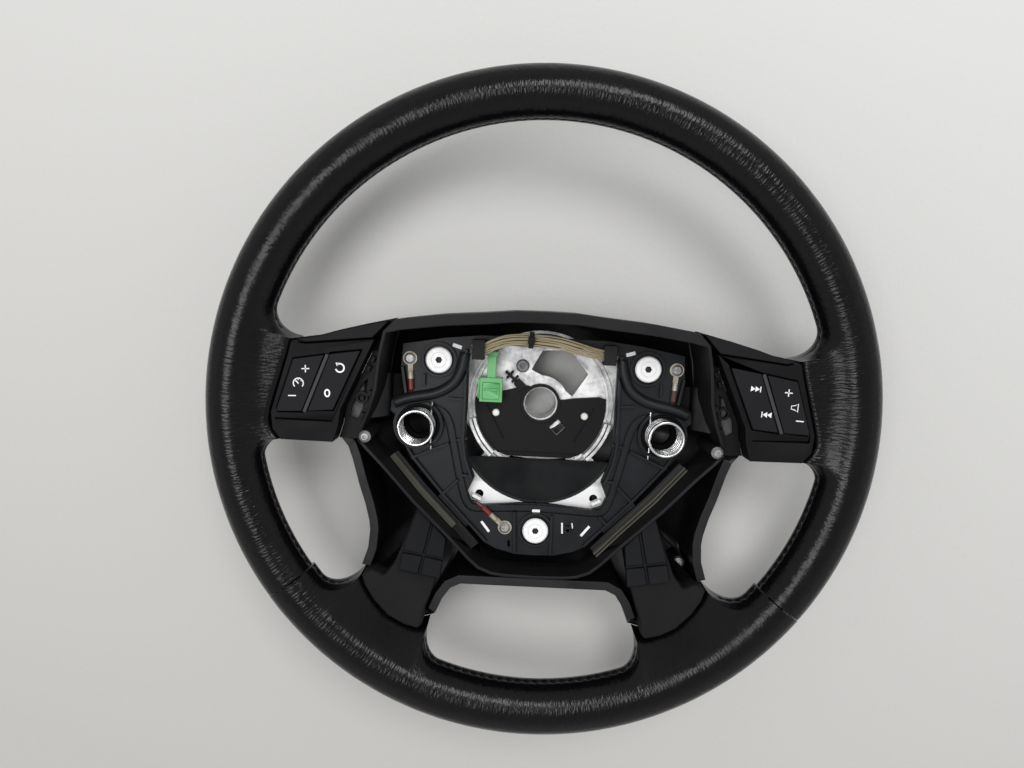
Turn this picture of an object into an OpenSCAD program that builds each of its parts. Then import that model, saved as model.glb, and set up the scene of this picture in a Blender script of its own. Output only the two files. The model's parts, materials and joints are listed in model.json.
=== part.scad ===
// Car steering wheel with its driver air bag taken out.
// X runs to the right, Y to twelve o'clock and Z along the column to the driver.
// The origin is the centre of the column bore at the hub's rear face.

/* [Rim] */
// Outside diameter of the rim
rim_d = 385; // [375:1:395]
// Thickness of the grip in its upper section
grip_t = 29.6; // [28:0.2:32]
// Thickness of the grip in its lower section
grip_low_t = 31.2; // [30:0.2:33]
// Height of the rim's middle plane above the hub's rear face
rim_z = 62; // [60:0.5:64]
// Angle of the grip's two seams below the horizontal
seam_a = 36.5; // [34:0.5:38]
// Width of the groove at a seam
seam_gap = 0.8; // [0.4:0.1:1.2]

/* [Armature] */
// Radius of the rod cast round inside the rim
core_r = 5; // [4:0.25:5.5]
// Radius of the hub boss
hub_r = 17.5; // [15:0.5:19]
// Height of the hub boss, rear face to top
hub_h = 20; // [18:0.5:21]
// Radius of the column bore
bore_r = 9.75; // [9:0.25:10.25]
// Thickness of the web round the hub
web_t = 5; // [4:0.5:7]
// Width of a side spoke
side_spoke_w = 26; // [22:1:28]
// Width of a lower spoke
low_spoke_w = 14; // [12:1:15]
// Angle of a side spoke above the horizontal
side_spoke_a = 1.5; // [0:0.5:3]
// Angle of a lower spoke below the horizontal
low_spoke_a = 53; // [51:0.5:55]
// Thickness of the two ring ribs
ring_rib_t = 1.8; // [1.4:0.2:2.2]
// Thickness of the lower yoke
yoke_t = 4; // [3:0.5:5]

/* [Shells] */
// Wall of the back cover
cover_wall = 2.5; // [2:0.25:3]
// Outer radius of the back cover's rear collar
collar_r = 52; // [50:0.5:54]
// Radius of the round opening in the back cover
cover_hole_r = 38; // [36:0.5:40]
// How far the collar stands behind the hub's rear face
collar_back = 8; // [6:0.5:10]
// Height at which the back cover meets the bay frame
split_z = 26; // [24:0.5:28]
// Wall of the bay frame along the lower sides
bay_wall = 2; // [1.6:0.2:2.4]
// Depth of the arch at the top of the bay frame
arch_w = 6.4; // [5:0.2:7]
// Height of the arch at the top of the bay
arch_z = 74; // [72:0.5:75]
// Height of the bay frame's lip at the bottom
lip_z = 50; // [48:0.5:52]

/* [Switches] */
// Height of the pod faces
pod_z = 70; // [69:0.5:71]
// Depth of a pod
pod_h = 15; // [14:0.5:16]
// How far a key stands above its pod
key_proud = 1.4; // [0.8:0.1:2]
// Gap round a key
key_gap = 0.6; // [0.6:0.05:0.8]
// Radius of a key's hinge pin
key_pin_r = 1.2; // [1:0.1:1.4]
// Travel of the bar key
bar_travel = 0.8; // [0.4:0.1:1]

/* [Air bag bay] */
// Height of the carrier plate's face
carrier_z = 38; // [37:0.5:39]
// Thickness of the carrier plate
carrier_t = 4; // [3:0.5:4]
// Height of the carrier plate's ribs
rib_h = 5; // [3:0.5:6]
// Thickness of the carrier plate's ribs
rib_t = 1.6; // [1.2:0.2:2]
// Radius of a horn contact
contact_r = 7.8; // [7:0.2:8.4]
// Outer radius of a horn spring
spring_r = 11; // [10.5:0.1:11.4]
// Wire radius of a horn spring
spring_wire_r = 0.9; // [0.7:0.05:1]
// Free turns of a horn spring
spring_turns = 4.5; // [3.5:0.5:6]
// Length of a horn spring
spring_h = 22; // [18:0.5:24]
// Radius of the air bag's guide bore in a spring cup
guide_r = 7; // [6:0.25:8]
// Half width of the beige ribbon of wires
ribbon_w = 3.4; // [2.5:0.1:4]

/* [Hidden] */

fit_gap = 0.3;            // running gap and the gap of a loose fit
cut = 0.5;                // how far a cut runs past the face it opens
fn_round = 64;            // sides of a large round
fn_small = 32;            // sides of a small round
plan = rim_d / 385;       // scale of the plan: outlines and places are written for a 385 mm rim
grip_r = grip_t / 2;
low_r = grip_low_t / 2;
core_R = rim_d / 2 - grip_r - 0.2;   // radius of the rod in the rim
rib_top = carrier_z + rib_h;
carrier_low = carrier_z - carrier_t;
web_z = hub_h - web_t;
cover_plate_t = 3;
spoke_t = 9;              // thickness of a spoke of the armature
yoke_z = hub_h + 5;
ring_top = hub_h + 9;     // height of the tall lengths of the ring ribs
ring_r = 44.5 * plan;     // radius of the outer ring rib
yoke_hole_r = 50 * plan;  // round hole of the yoke
yoke_y = -12 * plan;      // and its centre
bowl_edge = -34.5 * plan; // upper edge of the dish that fills it
bowl_z = hub_h + 3.8;
bowl_t = 1.8;
roof_z = 31.3;            // underside of the bay frame's tongue over a lower spoke
pod_low = pod_z - pod_h;
key_floor = pod_z - 10;   // floor of a key's pocket
key_pin_z = pod_z - 5;
foam_slope = 13.5;        // rise of a lower spoke's foam towards the rim, in degrees
foam_z = 41;              // height of the foam's face at foam_u from the axis
foam_u = 80 * plan;
foam_t = 14;
pad_t = 5;
lip_w = 5;                // width of the back cover's lip along the openings
lip_low = 49;             // height of that lip at the lower opening
lip_rise = 0.06;          // its rise per mm towards twelve o'clock
arc_z = 35;               // height of the cover's edge under the leather's end
cup_floor = carrier_low;
cup_r = spring_r + 1.2;
ledge_z = 36;
ledge_w = 7;
screw_z = 62;

// Places, on the right-hand side where they are mirrored
contact_at = [62.5, 25.9] * plan;
contact_low_at = [0, -75.9] * plan;
spring_at = [73.5, -13.7] * plan;
terminal_at = [80, 26] * plan;
terminal_tail = [79, 12] * plan;
terminal_low_at = [-18.7, -75.3] * plan;
terminal_low_tail = [-28, -67] * plan;
housing_screw_at = [101.4, -18.5] * plan;
lower_screw_at = [90, -94] * plan;
lower_screw_z = 34;
hub_screw_at = [-12.2, 23] * plan;
pin_at = [27.5, -6.5] * plan;
yoke_hole_at = [35.5, -57.3] * plan;
connector_at = [-31, 9, 0];

// Outlines, right-hand half, from twelve o'clock round to six o'clock
bay_half = [[0, 57.7], [18, 57.4], [35, 55.6], [60, 53.5], [84, 50], [91, 43], [94, 30], [96.5, 10],
    [100, -2], [105, -14], [105.5, -21], [101, -26.5], [92, -36], [74, -57], [53, -78.5], [40, -92.5],
    [34, -98], [26, -101.3], [18, -102.3], [0, -102.8]] * plan;
arch_points = 5;          // how many points of bay_half lie on the arch
carrier_half = [[0, 42], [38, 41.5], [60, 39], [84.5, 34.5], [85.4, 21], [82.5, 4], [90.5, 0.5],
    [91, -6.4], [87, -9], [86.9, -19], [77.3, -35], [58.4, -57], [44.6, -71.4], [31.2, -85.2],
    [24, -89], [12, -92], [0, -92.4]] * plan;
mouth_half = [[0, 36], [30, 36], [44.6, 33], [44.4, 3], [44.8, -21], [43, -33], [38.5, -45],
    [42.4, -54], [39.8, -60], [33.5, -62.2], [8, -60], [0, -60]] * plan;
pod_outline = [[85, 50.4], [102, 46.3], [118, 42], [128, 38.8], [142.5, 36.4], [144.6, 27], [153.6, -5.5],
    [152.6, -15], [147.8, -20.9], [118, -21.2], [115.2, -12], [114, -2.3], [96.4, 37.4]] * plan;
pod_edge = [[142.5, 36.4], [144.6, 27], [153.6, -5.5], [152.6, -15], [147.8, -20.9]] * plan;
key_inner = [[102.5, 32.2], [117.8, -3.2], [133.2, -4.6], [120.8, 29.3]] * plan;
key_outer = [[122.9, 28.9], [135.3, -4.7], [149.6, -5.4], [150.2, -2.5], [141.4, 25.7]] * plan;
bar_outline = [[86.6, 49.6], [96.8, 38.6], [134.6, 34.4], [142.2, 36.2], [128, 38.8], [118, 42],
    [102, 46.3]] * plan;
stems = [[106, 42], [127, 37.4]] * plan;
bracket_outline = [[94.5, 30.4], [98.8, 31], [113.4, -2.3], [114.7, -12], [117.2, -20.5], [106.1, -20.8],
    [105.6, -13.8], [100.6, -1.8], [97.1, 10.2]] * plan;
bracket_window = [[101.4, 14.6], [105, 11], [110.4, -1.4], [111.2, -8], [106.8, -9.8], [102.6, 1.4]] * plan;
bracket_teeth = [[98.2, 26], [100.6, 20.6], [99.6, 6.4], [103.6, -6.6]] * plan;
bracket_eye = [104.4, 3.6] * plan;
// The back cover's own outline: under the bay, down the lower spokes to the leather, and back
leather_arc = [[104, -102.7], [101.5, -109.7], [95.7, -118.3], [86.7, -127.5], [76.7, -133.1],
    [68, -135.7], [60.4, -133.7]] * plan;
cover_upper = [[0, 57.7], [18, 57.4], [35, 55.6], [60, 53.5], [84, 50], [91, 43], [94, 30], [96.5, 10],
    [100, -2], [107.6, -14.5]] * plan;
cover_side = [[117, -20.6], [112.6, -26.2], [110, -33.5], [106, -48.5], [102, -61], [99.6, -71],
    [99, -77], [100, -88], [103.5, -98.7]] * plan;
cover_low = [[58.3, -127], [54.5, -118], [50, -111.4], [44, -108.4], [22, -108.4], [0, -108.4]] * plan;
foam_outline = [[71.4, -61.6], [53.2, -80.2], [57.5, -103], [59.6, -109], [61.8, -116], [65, -124.5],
    [65.2, -131.8], [68, -134.6], [76.5, -132], [86.2, -126.6], [94.9, -117.6], [100.4, -109.3],
    [102.6, -103], [96.5, -100], [89.5, -103.5], [84.2, -97], [78.4, -82]] * plan;
pad_outline = [[71, -62.5], [62.5, -71], [53.6, -80.6], [56, -103.8], [80.4, -98.4], [77.3, -82.6]] * plan;
pad_cross = [[[50, -93.6], [82, -87.3]] * plan, [[61.6, -68], [68.8, -104]] * plan];
web_half = [[0, 40], [30, 40], [48, 37], [60, 34.5], [68, 32], [71, 25.5], [67, 19], [52, 14], [50, 0],
    [46, -14], [38, -26], [28, -33], [0, -36]] * plan;
window = [[0, 33], [17.3, 33.8], [28.9, 19.4], [19.7, 5], [8, 14], [-6.5, 20.7], [-4.6, 24.6]] * plan;
peephole = [[11.3, -9.4], [5.9, -14.7], [11.2, -20], [16.5, -14.7]] * plan;
yoke_half = [[52, -36], [53, -48], [46, -62], [30, -76], [12, -84], [0, -85]] * plan;
yoke_clip = [[39.6, -57.4], [34.2, -60]] * plan;
clip_block = [[-17.3, 11.9], [-14.2, 15.3], [-9, 10.6], [-13.8, 7]] * plan;
clip_arm = [[-15, 12.6], [-22.6, 19.4]] * plan;
clip_bars = [[[-21.6, 15.2], [-17.8, 19.6]], [[-18.4, 12.6], [-14.8, 16.8]]];
hub_cover_outline = [[-44.6, 1.3], [-44.2, -12], [-31.4, -30.6], [30.5, -30.6], [43, -12.5], [43.2, 3.5],
    [36.4, 5.6], [20, 4], [13.2, 2.8], [-8.5, 11]] * plan;
cable_cover_path = [[47, 31], [48.8, 21], [53, 12.5], [60.5, 7], [68, 4.4], [76, 2.8], [83, 1],
    [88.6, -1.4]] * plan;
cable_cover_r = 3.4;
band_path = [[66.5, -3.4], [62, -4.2], [57.8, -7], [54.5, -13.4], [52, -24], [49.4, -36.3], [46.4, -48.6],
    [43.6, -58], [40.8, -62.4], [36.6, -63.9], [20, -63.2], [0, -62.4]] * plan;
ribbon_points = [[-42.8, 32.6, 42.2], [-39, 33.2, 42.9], [-34.6, 34.4, 44.2], [-29, 37.2, 46.4],
    [-21, 39.8, 48.3],
    [-8, 40.6, 49.4], [8, 39.4, 49.2], [20, 36.6, 47.6], [28.5, 34.4, 45.2], [35, 33.3, 43.6],
    [42.8, 32.4, 42.4]];
ribbon_path = [for (p = ribbon_points) [p[0] * plan, p[1] * plan, p[2]]];

// Points mirrored to the left-hand side, in reverse order
function flip(pts) = [for (i = [len(pts) - 1 : -1 : 0]) [-pts[i][0], pts[i][1]]];
// A right-hand half closed by its mirror image, clockwise, ends on the axis written once
function both(half) = concat(half, [for (p = flip(half)) if (abs(p[0]) > 0.01) p]);
function unit(v) = v / norm(v);
function left_of(v) = [-v[1], v[0]];
function lerp(a, b, t) = a + (b - a) * t;
function ease(t) = let (c = min(1, max(0, t))) c * c * (3 - 2 * c);
function clamp(v, a, b) = min(b, max(a, v));
function polar(p) = atan2(p[1], p[0]);

// Mitred normal at point i of an open path
function path_normal(pts, i) =
    let (n = len(pts),
        a = left_of(unit(pts[max(i, 1)] - pts[max(i, 1) - 1])),
        b = left_of(unit(pts[min(i, n - 2) + 1] - pts[min(i, n - 2)])),
        m = a + b)
    m * 2 / (m * m);
// Outline of a strip of width w along an open path
function strip(pts, w) = concat(
    [for (i = [0 : len(pts) - 1]) pts[i] + path_normal(pts, i) * w / 2],
    [for (i = [len(pts) - 1 : -1 : 0]) pts[i] - path_normal(pts, i) * w / 2]);
// A closed clockwise outline moved inwards by d
function inset(pts, d) =
    let (n = len(pts))
    [for (i = [0 : n - 1])
        let (a = -left_of(unit(pts[i] - pts[(i + n - 1) % n])),
            b = -left_of(unit(pts[(i + 1) % n] - pts[i])),
            m = a + b)
        pts[i] + m * 2 * (is_list(d) ? d[i] : d) / (m * m)];
// Smooth curve through the points of an open path, k steps between two points
function knot(a, b, c, d, t) =
    0.5 * (2 * b + (c - a) * t + (2 * a - 5 * b + 4 * c - d) * t * t + (3 * b - a - 3 * c + d) * t * t * t);
function curve(pts, k) =
    let (n = len(pts))
    concat([for (i = [0 : n - 2], j = [0 : k - 1])
        knot(pts[max(0, i - 1)], pts[i], pts[i + 1], pts[min(n - 1, i + 2)], j / k)], [pts[n - 1]]);
// Rings of a section carried along a path; the section's second coordinate points upwards
function carried(path, section) =
    [for (i = [0 : len(path) - 1])
        let (d = unit(path[min(i + 1, len(path) - 1)] - path[max(i - 1, 0)]),
            s = unit(cross(d, [0, 0, 1])),
            u = cross(s, d))
        [for (q = section) path[i] + s * q[0] + u * q[1]]];
function round_section(r, n) = [for (j = [0 : n - 1]) r * [cos(360 * j / n), sin(360 * j / n)]];

// Solid through rings of equal length, each ring running clockwise seen along the travel
module skin(rings, closed = false) {
    m = len(rings);
    n = len(rings[0]);
    sides = [for (i = [0 : closed ? m - 1 : m - 2], j = [0 : n - 1])
        let (k = (i + 1) % m, l = (j + 1) % n)
        each [[i * n + j, k * n + l, k * n + j], [i * n + j, i * n + l, k * n + l]]];
    caps = closed ? [] : [[for (j = [n - 1 : -1 : 0]) j], [for (j = [0 : n - 1]) (m - 1) * n + j]];
    polyhedron([for (r = rings) each r], concat(sides, caps));
}

// Plate with the given outline between two heights
module plate(outline, z0, z1) {
    translate([0, 0, z0]) linear_extrude(z1 - z0) polygon(outline);
}
module ring(ro, ri, z0, z1, fn = fn_small) {
    translate([0, 0, z0]) difference() {
        cylinder(r = ro, h = z1 - z0, $fn = fn);
        translate([0, 0, -cut]) cylinder(r = ri, h = z1 - z0 + 2 * cut, $fn = fn);
    }
}
module rod(p, z0, z1, r, fn = fn_small) {
    translate([p[0], p[1], z0]) cylinder(r = r, h = z1 - z0, $fn = fn);
}
module left() {
    mirror([1, 0, 0]) children();
}
module left_and_right() {
    children();
    left() children();
}
// Everything above a plane that rises along +Y by slope degrees and has height z at y
module above(z, y, slope) {
    translate([0, y, z]) rotate([slope, 0, 0]) translate([-250, -300, 0]) cube([500, 600, 200]);
}
// The frame of the right-hand lower spoke, +X running out along it
module along_leg() {
    rotate([0, 0, -low_spoke_a]) children();
}
// Everything above the foam's face, or below it, moved by dz along the face's own normal
module on_foam(dz, up = true) {
    along_leg() translate([foam_u, 0, foam_z]) rotate([0, -foam_slope, 0])
        translate([-200, -200, up ? dz : dz - 120]) cube([400, 400, 120]);
}

// Side view of a spoke: low under the carrier plate, then up and out to the rim core
function spoke_top(rise_u, mid_z, out_z) = [[37 * plan, hub_h - 1], [42 * plan, hub_h - 1],
    [rise_u, carrier_low - 5], [rise_u + 14, mid_z], [core_R - 23, out_z], [core_R - 11, rim_z - 2],
    [core_R, rim_z + core_r - 1]];
module spoke(a, w, rise_u, mid_z, out_z, gap = 0) {
    top = spoke_top(rise_u, mid_z, out_z);
    low = [for (p = top) p - [-4, spoke_t]];
    profile = concat([for (p = top) p + [0, gap]], [for (i = [len(low) - 1 : -1 : 0]) low[i] - [0, gap]]);
    rotate([0, 0, a]) translate([0, w / 2 + gap, 0]) rotate([90, 0, 0])
        linear_extrude(w + 2 * gap) intersection() {
            polygon(profile);
            square([core_R + gap, 200]);
        }
}
module spokes(gap = 0) {
    left_and_right() {
        spoke(side_spoke_a, side_spoke_w, 91 * plan, 51, pod_low - 1, gap);
        spoke(-low_spoke_a, low_spoke_w, 84 * plan, 36, 50, gap);
    }
}
module rim_core(r) {
    translate([0, 0, rim_z]) rotate_extrude($fn = 96) translate([core_R, 0]) circle(r = r, $fn = fn_small);
}

// Radius at which a ray from the axis meets a chain of points, its end values kept beyond the ends
function chain_r(pts, a) =
    let (lo = min([for (p = pts) polar(p)]), hi = max([for (p = pts) polar(p)]), t = clamp(a, lo, hi))
    max([for (i = [0 : len(pts) - 2])
        let (p = pts[i], q = pts[i + 1], pa = polar(p), qa = polar(q))
        t >= min(pa, qa) && t <= max(pa, qa)
            ? let (d = [cos(t), sin(t)], e = q - p) (p[0] * e[1] - p[1] * e[0]) / (d[0] * e[1] - d[1] * e[0])
            : 0]);
// How far the grip has turned into a spoke at angle a: 0 on the plain rim, 1 on the spoke, and a quarter
// of a circle between, which takes turn[0] degrees before lo and turn[1] after hi
function quarter(t) = 1 - sqrt(1 - pow(clamp(t, 0, 1), 2));
function flare(a, lo, hi,
        turn) = quarter((a - lo + turn[0]) / turn[0]) * quarter((hi + turn[1] - a) / turn[1]);
// Section of the grip at angle a: a circle that reaches inwards to radius r1, between two heights
function grip_ring(a, R, r, f, r1, top, low) =
    let (reach = R - r - r1, k = lerp(1, 0.5, f))
    [for (j = [0 : 15])
        let (c = cos(j * 22.5), s = sin(j * 22.5),
            t = pow(abs(c), k),
            x = c >= 0 ? r * c : -(r + f * reach) * t,
            h = c >= 0 ? r * s : r * sign(s) * pow(abs(s), k) * lerp(1, (s > 0 ? top : -low) / r, f * t * t))
        [(R + x) * cos(a), (R + x) * sin(a), rim_z + h]];
side_lo = -8;
side_hi = 14.3;
side_turn = [3.8, 5.9];
leg_lo = -65;
leg_hi = -45;
leg_turn = [5.6, 5.8];
function side_ring(a, R, r) =
    let (b = a > 90 ? 180 - a : a, f = flare(b, side_lo, side_hi, side_turn))
    grip_ring(a, R, r, f, chain_r(pod_edge, b) + fit_gap, pod_z - rim_z - 0.5, -21);
function leg_ring(a, R, r) =
    let (b = a < -90 ? -180 - a : a, f = flare(b, leg_lo, leg_hi, leg_turn))
    grip_ring(a, R, r, f, chain_r(leather_arc, b) + fit_gap, -5, -27);
fine = 1.25;
coarse = 4;
half_groove = seam_gap / 2 / (rim_d / 2) * 180 / PI;
// Angles of the sections between two plain ones, close together where the grip turns into the spoke
function sections(from, to, lo, hi, turn) = concat(
    [for (a = [from : coarse : lo - turn[0] - 1]) a],
    [for (k = [0 : 6]) lo - turn[0] * (1 - sin(15 * k))],
    [for (a = [lo + fine : fine : hi - fine / 2]) a],
    [for (k = [6 : -1 : 0]) hi + turn[1] * (1 - sin(15 * k))],
    [for (a = [hi + turn[1] + 1 : coarse : to]) a]);
upper_half = concat([-seam_a + half_groove], sections(-seam_a + coarse, 88, side_lo, side_hi, side_turn));
lower_half = concat(sections(-90, -seam_a - 1, leg_lo, leg_hi, leg_turn), [-seam_a - half_groove]);

module armature() color([0.68, 0.69, 0.7]) {
    difference() {
        union() {
            cylinder(r = hub_r, h = hub_h, $fn = fn_round);
            difference() {
                plate(both(web_half), web_z, hub_h);
                plate(window, web_z - cut, hub_h + cut);
                plate(peephole, web_z - cut, hub_h + cut);
            }
            ring_ribs();
            yoke();
            left_and_right() rod(contact_at, hub_h - 1, carrier_low, 6);
            rod(contact_low_at, yoke_z, carrier_low, 6);
            spokes();
            rim_core(core_r);
        }
        translate([0, 0, -cut]) cylinder(r = bore_r, h = hub_h + 2 * cut, $fn = fn_round);
        translate([hub_screw_at[0], hub_screw_at[1], web_z - cut]) cylinder(r = 1.6,
        h = web_t + 2 * cut, $fn = 24);
    }
}
// Two concentric ribs round the web, tall at each side of six o'clock
rib_hi = -14;             // angles between which they stand tall
rib_lo = -48;
module ring_ribs() difference() {
    for (r = [ring_r - ring_rib_t - 0.8, ring_r])
        ring(r + ring_rib_t / 2, r - ring_rib_t / 2, web_z, ring_top, fn_round);
    for (a = [[rib_hi, 90], [90, 180 - rib_hi], [rib_lo, -90], [-90, -180 - rib_lo]])
        plate([[0, 0], for (t = [0 : 0.25 : 1]) 80 * [cos(lerp(a[0], a[1], t)), sin(lerp(a[0], a[1], t))]],
            hub_h + 1.2, ring_top + cut);
}
module yoke() {
    difference() {
        plate(both(yoke_half), yoke_z, yoke_z + yoke_t);
        translate([0, yoke_y, yoke_z - cut]) cylinder(r = yoke_hole_r, h = yoke_t + 2 * cut, $fn = fn_round);
        left_and_right() rod(yoke_hole_at, yoke_z - cut, yoke_z + yoke_t + cut, 2.6, 24);
    }
    left_and_right() plate(strip(yoke_clip, 1.8), yoke_z + cut, carrier_low - cut);
}

module rim_grip_upper() color([0.12, 0.13, 0.14]) {
    angles = concat(upper_half, [90], [for (i = [len(upper_half) - 1 : -1 : 0]) 180 - upper_half[i]]);
    difference() {
        skin([for (a = angles) side_ring(a, rim_d / 2 - grip_r, grip_r)]);
        rim_core(core_r + fit_gap);
        spokes(fit_gap);
    }
}
module rim_grip_lower() color([0.12, 0.13, 0.14]) {
    angles = concat([for (i = [len(lower_half) - 1 : -1 : 1]) -180 - lower_half[i]], lower_half);
    difference() {
        skin([for (a = angles) leg_ring(a, rim_d / 2 - low_r, low_r)]);
        rim_core(core_r + fit_gap);
        spokes(fit_gap);
    }
}

// The cover's outline, its wall at each point and the height of its edge there
bay = both(bay_half);
cover_half = concat(cover_upper, cover_side, leather_arc, cover_low);
cover = both(cover_half);
function lip_z_at(y) = lip_low + lip_rise * (y - cover_low[3][1]);
cover_top_half = concat([for (p = cover_upper) split_z], [for (p = cover_side) lip_z_at(p[1])],
    [for (p = leather_arc) arc_z], [for (p = cover_low) lip_z_at(p[1])]);
cover_wall_half = concat([for (p = cover_upper) cover_wall], [for (p = cover_side) lip_w],
    [for (p = leather_arc) cover_wall], [for (p = cover_low) lip_w]);
function both_values(half) = concat(half, [for (i = [len(half) - 2 : -1 : 1]) half[i]]);
cover_top = both_values(cover_top_half);
// Ring of the cover blended towards a circle of radius r, and k = 1 is the circle; z stops at the edge
function cover_ring(pts, r, k, z) =
    [for (i = [0 : len(pts) - 1])
        let (q = lerp(pts[i], unit(pts[i]) * r, k))
        [q[0], q[1], min(z, cover_top[i])]];
// One moulding: the bowl behind the hub with its collar, and the troughs round the lower spokes
module back_cover() color([0.1, 0.1, 0.11]) {
    inner = inset(cover, both_values(cover_wall_half));
    floor_in = inset(cover, cover_wall);
    w = cover_wall;
    difference() {
        skin([cover_ring(inner, collar_r, 0, 99), cover_ring(inner, collar_r, 0.01, split_z - 1),
            cover_ring(floor_in, collar_r, 0.1, 15 + w), cover_ring(floor_in, collar_r, 0.36, 8 + w),
            cover_ring(floor_in, collar_r, 0.72, 3 + w),
            cover_ring(cover, collar_r, 1, 0.5 + w), cover_ring(cover, cover_hole_r, 1, w),
            cover_ring(cover, cover_hole_r, 1, 0), cover_ring(cover, collar_r - w, 1, 0),
            cover_ring(cover, collar_r - w, 1, -collar_back), cover_ring(cover, collar_r, 1, -collar_back),
            cover_ring(cover, collar_r, 1, 0), cover_ring(cover, collar_r, 0.72, 3),
            cover_ring(cover, collar_r, 0.36, 8), cover_ring(cover, collar_r, 0.1, 15),
            cover_ring(cover, collar_r, 0, split_z - 2), cover_ring(cover, collar_r, 0, 99)], true);
        spokes(fit_gap);
    }
    difference() {
        rod(lower_screw_at, 16, lower_screw_z, 4.4);
        rod(lower_screw_at, lower_screw_z - 9, lower_screw_z + cut, 1.5, 24);
    }
}

// Line along the bay's sloping lower side, d inside its outer face
v_first = 12;
v_last = 15;
function along_v(d, last = v_last) = let (line = inset(bay, d)) [for (i = [v_first : last]) line[i]];
// Wall round the air bag bay, thick along the arch, with a ledge behind its lower lip
module bay_frame() color([0.22, 0.22, 0.23]) {
    n = len(bay);
    walls = [for (i = [0 : n - 1]) i < arch_points || i > n - arch_points ? arch_w : bay_wall];
    slope = atan((arch_z - lip_z) / (bay_half[0][1] - bay_half[len(bay_half) - 1][1]));
    difference() {
        union() {
            difference() {
                plate(bay, split_z, arch_z + 10);
                plate(inset(bay, walls), split_z - cut, arch_z + 11);
            }
            left_and_right() {
                plate(strip(along_v((bay_wall + ledge_w) / 2), ledge_w), split_z, ledge_z);
                rod(housing_screw_at, split_z, arch_z, 3.6);
                along_leg() translate([77 * plan, -13, roof_z]) cube([14 * plan, 26, 2.2]);
            }
        }
        above(arch_z, bay_half[0][1] - arch_w, slope);
        left_and_right() {
            rod(housing_screw_at, screw_z - 8, arch_z, 1.5, 24);
            rod(housing_screw_at, screw_z, arch_z + cut, 4.4);
        }
        spokes(fit_gap);
    }
}

// Skinned foam round a lower spoke, from under the bay frame out to the leather
module spoke_foam() color([0.11, 0.1, 0.1]) difference() {
    plate(foam_outline, 4, arch_z);
    on_foam(0);
    on_foam(-foam_t, false);
    spokes(fit_gap);
}
module spoke_foam_right() {
    spoke_foam();
}
module spoke_foam_left() {
    left() spoke_foam();
}
// Grooved pad on a lower spoke, with its cross of grooves
module spoke_pad() color([0.17, 0.18, 0.18]) difference() {
    plate(pad_outline, 20, arch_z);
    on_foam(pad_t);
    on_foam(0, false);
    difference() {
        union() {
            plate(strip(pad_cross[0], 1.6), 20, arch_z);
            plate(strip(pad_cross[1], 1.6), 20, arch_z);
        }
        on_foam(pad_t - 1.6, false);
    }
}
module spoke_pad_right() {
    spoke_pad();
}
module spoke_pad_left() {
    left() spoke_pad();
}
// Strips on the ledge: a flat one on the left, a longer channel on the right
module seal_strip_left() color([0.42, 0.4, 0.37]) left() {
    plate(strip(along_v(bay_wall + fit_gap + 2, v_last - 1), 3.6), ledge_z, ledge_z + 4);
}
module seal_strip_right() color([0.42, 0.4, 0.37]) difference() {
    plate(strip(along_v(bay_wall + fit_gap + 1.6), 3), ledge_z, ledge_z + 5);
    plate(strip(along_v(bay_wall + fit_gap + 1.6), 1), ledge_z + 2, ledge_z + 6);
}

// A point moved out to distance d from c where it is nearer
function keep_off(p, c, d) = norm(p - c) < d ? c + unit(p - c) * d : p;
cable_line = curve([for (p = cable_cover_path) keep_off(p, spring_at, cup_r + cable_cover_r + 1)], 3);
band_line = curve(band_path, 3);
band_w = 3.4;
// Ribs of the carrier plate: the pairs on both sides, then those of one side only
pair_ribs = [[[54.8, -24.4], [77.2, -34.4]], [[48.4, -46.6], [57.2, -55.6]], [[50.2, -22.2], [44, -21]],
    [[46, -43.6], [39.6, -44]], [[71, 10], [71, 17]], [[56, 3], [45, 2.4]]];
lone_ribs = [[[-13.4, -65], [-12, -91]], [[9.6, -66], [9.8, -91]], [[38.4, -65.4], [44, -71]]];
// Slots: the pairs on both sides, then those of one side only, each with its width
pair_slots = [[[49.2, 33.4], [55, 35.2], 2.6], [[33.4, -72.3], [28, -79.2], 2]];
lone_slots = [[[-2.6, -64.4], [2.6, -64.4], 2.2], [[16.3, -70.6], [16.8, -78.7], 1.6],
    [[22.4, -70.8], [23, -74.8], 1.2], [[-16, -83.6], [-15.7, -87.6], 1.5]];
clip_seat = [[17.9, -72.4], [21.4, -72.4], [21.7, -77.4], [18.2, -77.4]] * plan;
module rib(ends, top) {
    plate(strip([ends[0], ends[1]] * plan, rib_t), carrier_z - cut, top);
}
module slot(s) {
    plate(strip([s[0], s[1]] * plan, s[2]), carrier_low - cut, pod_z);
}
module contact_seat(p) translate([p[0], p[1]])
    ring(contact_r + fit_gap + rib_t + 1, contact_r + fit_gap + 1, carrier_z - cut, carrier_z + 2);
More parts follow.
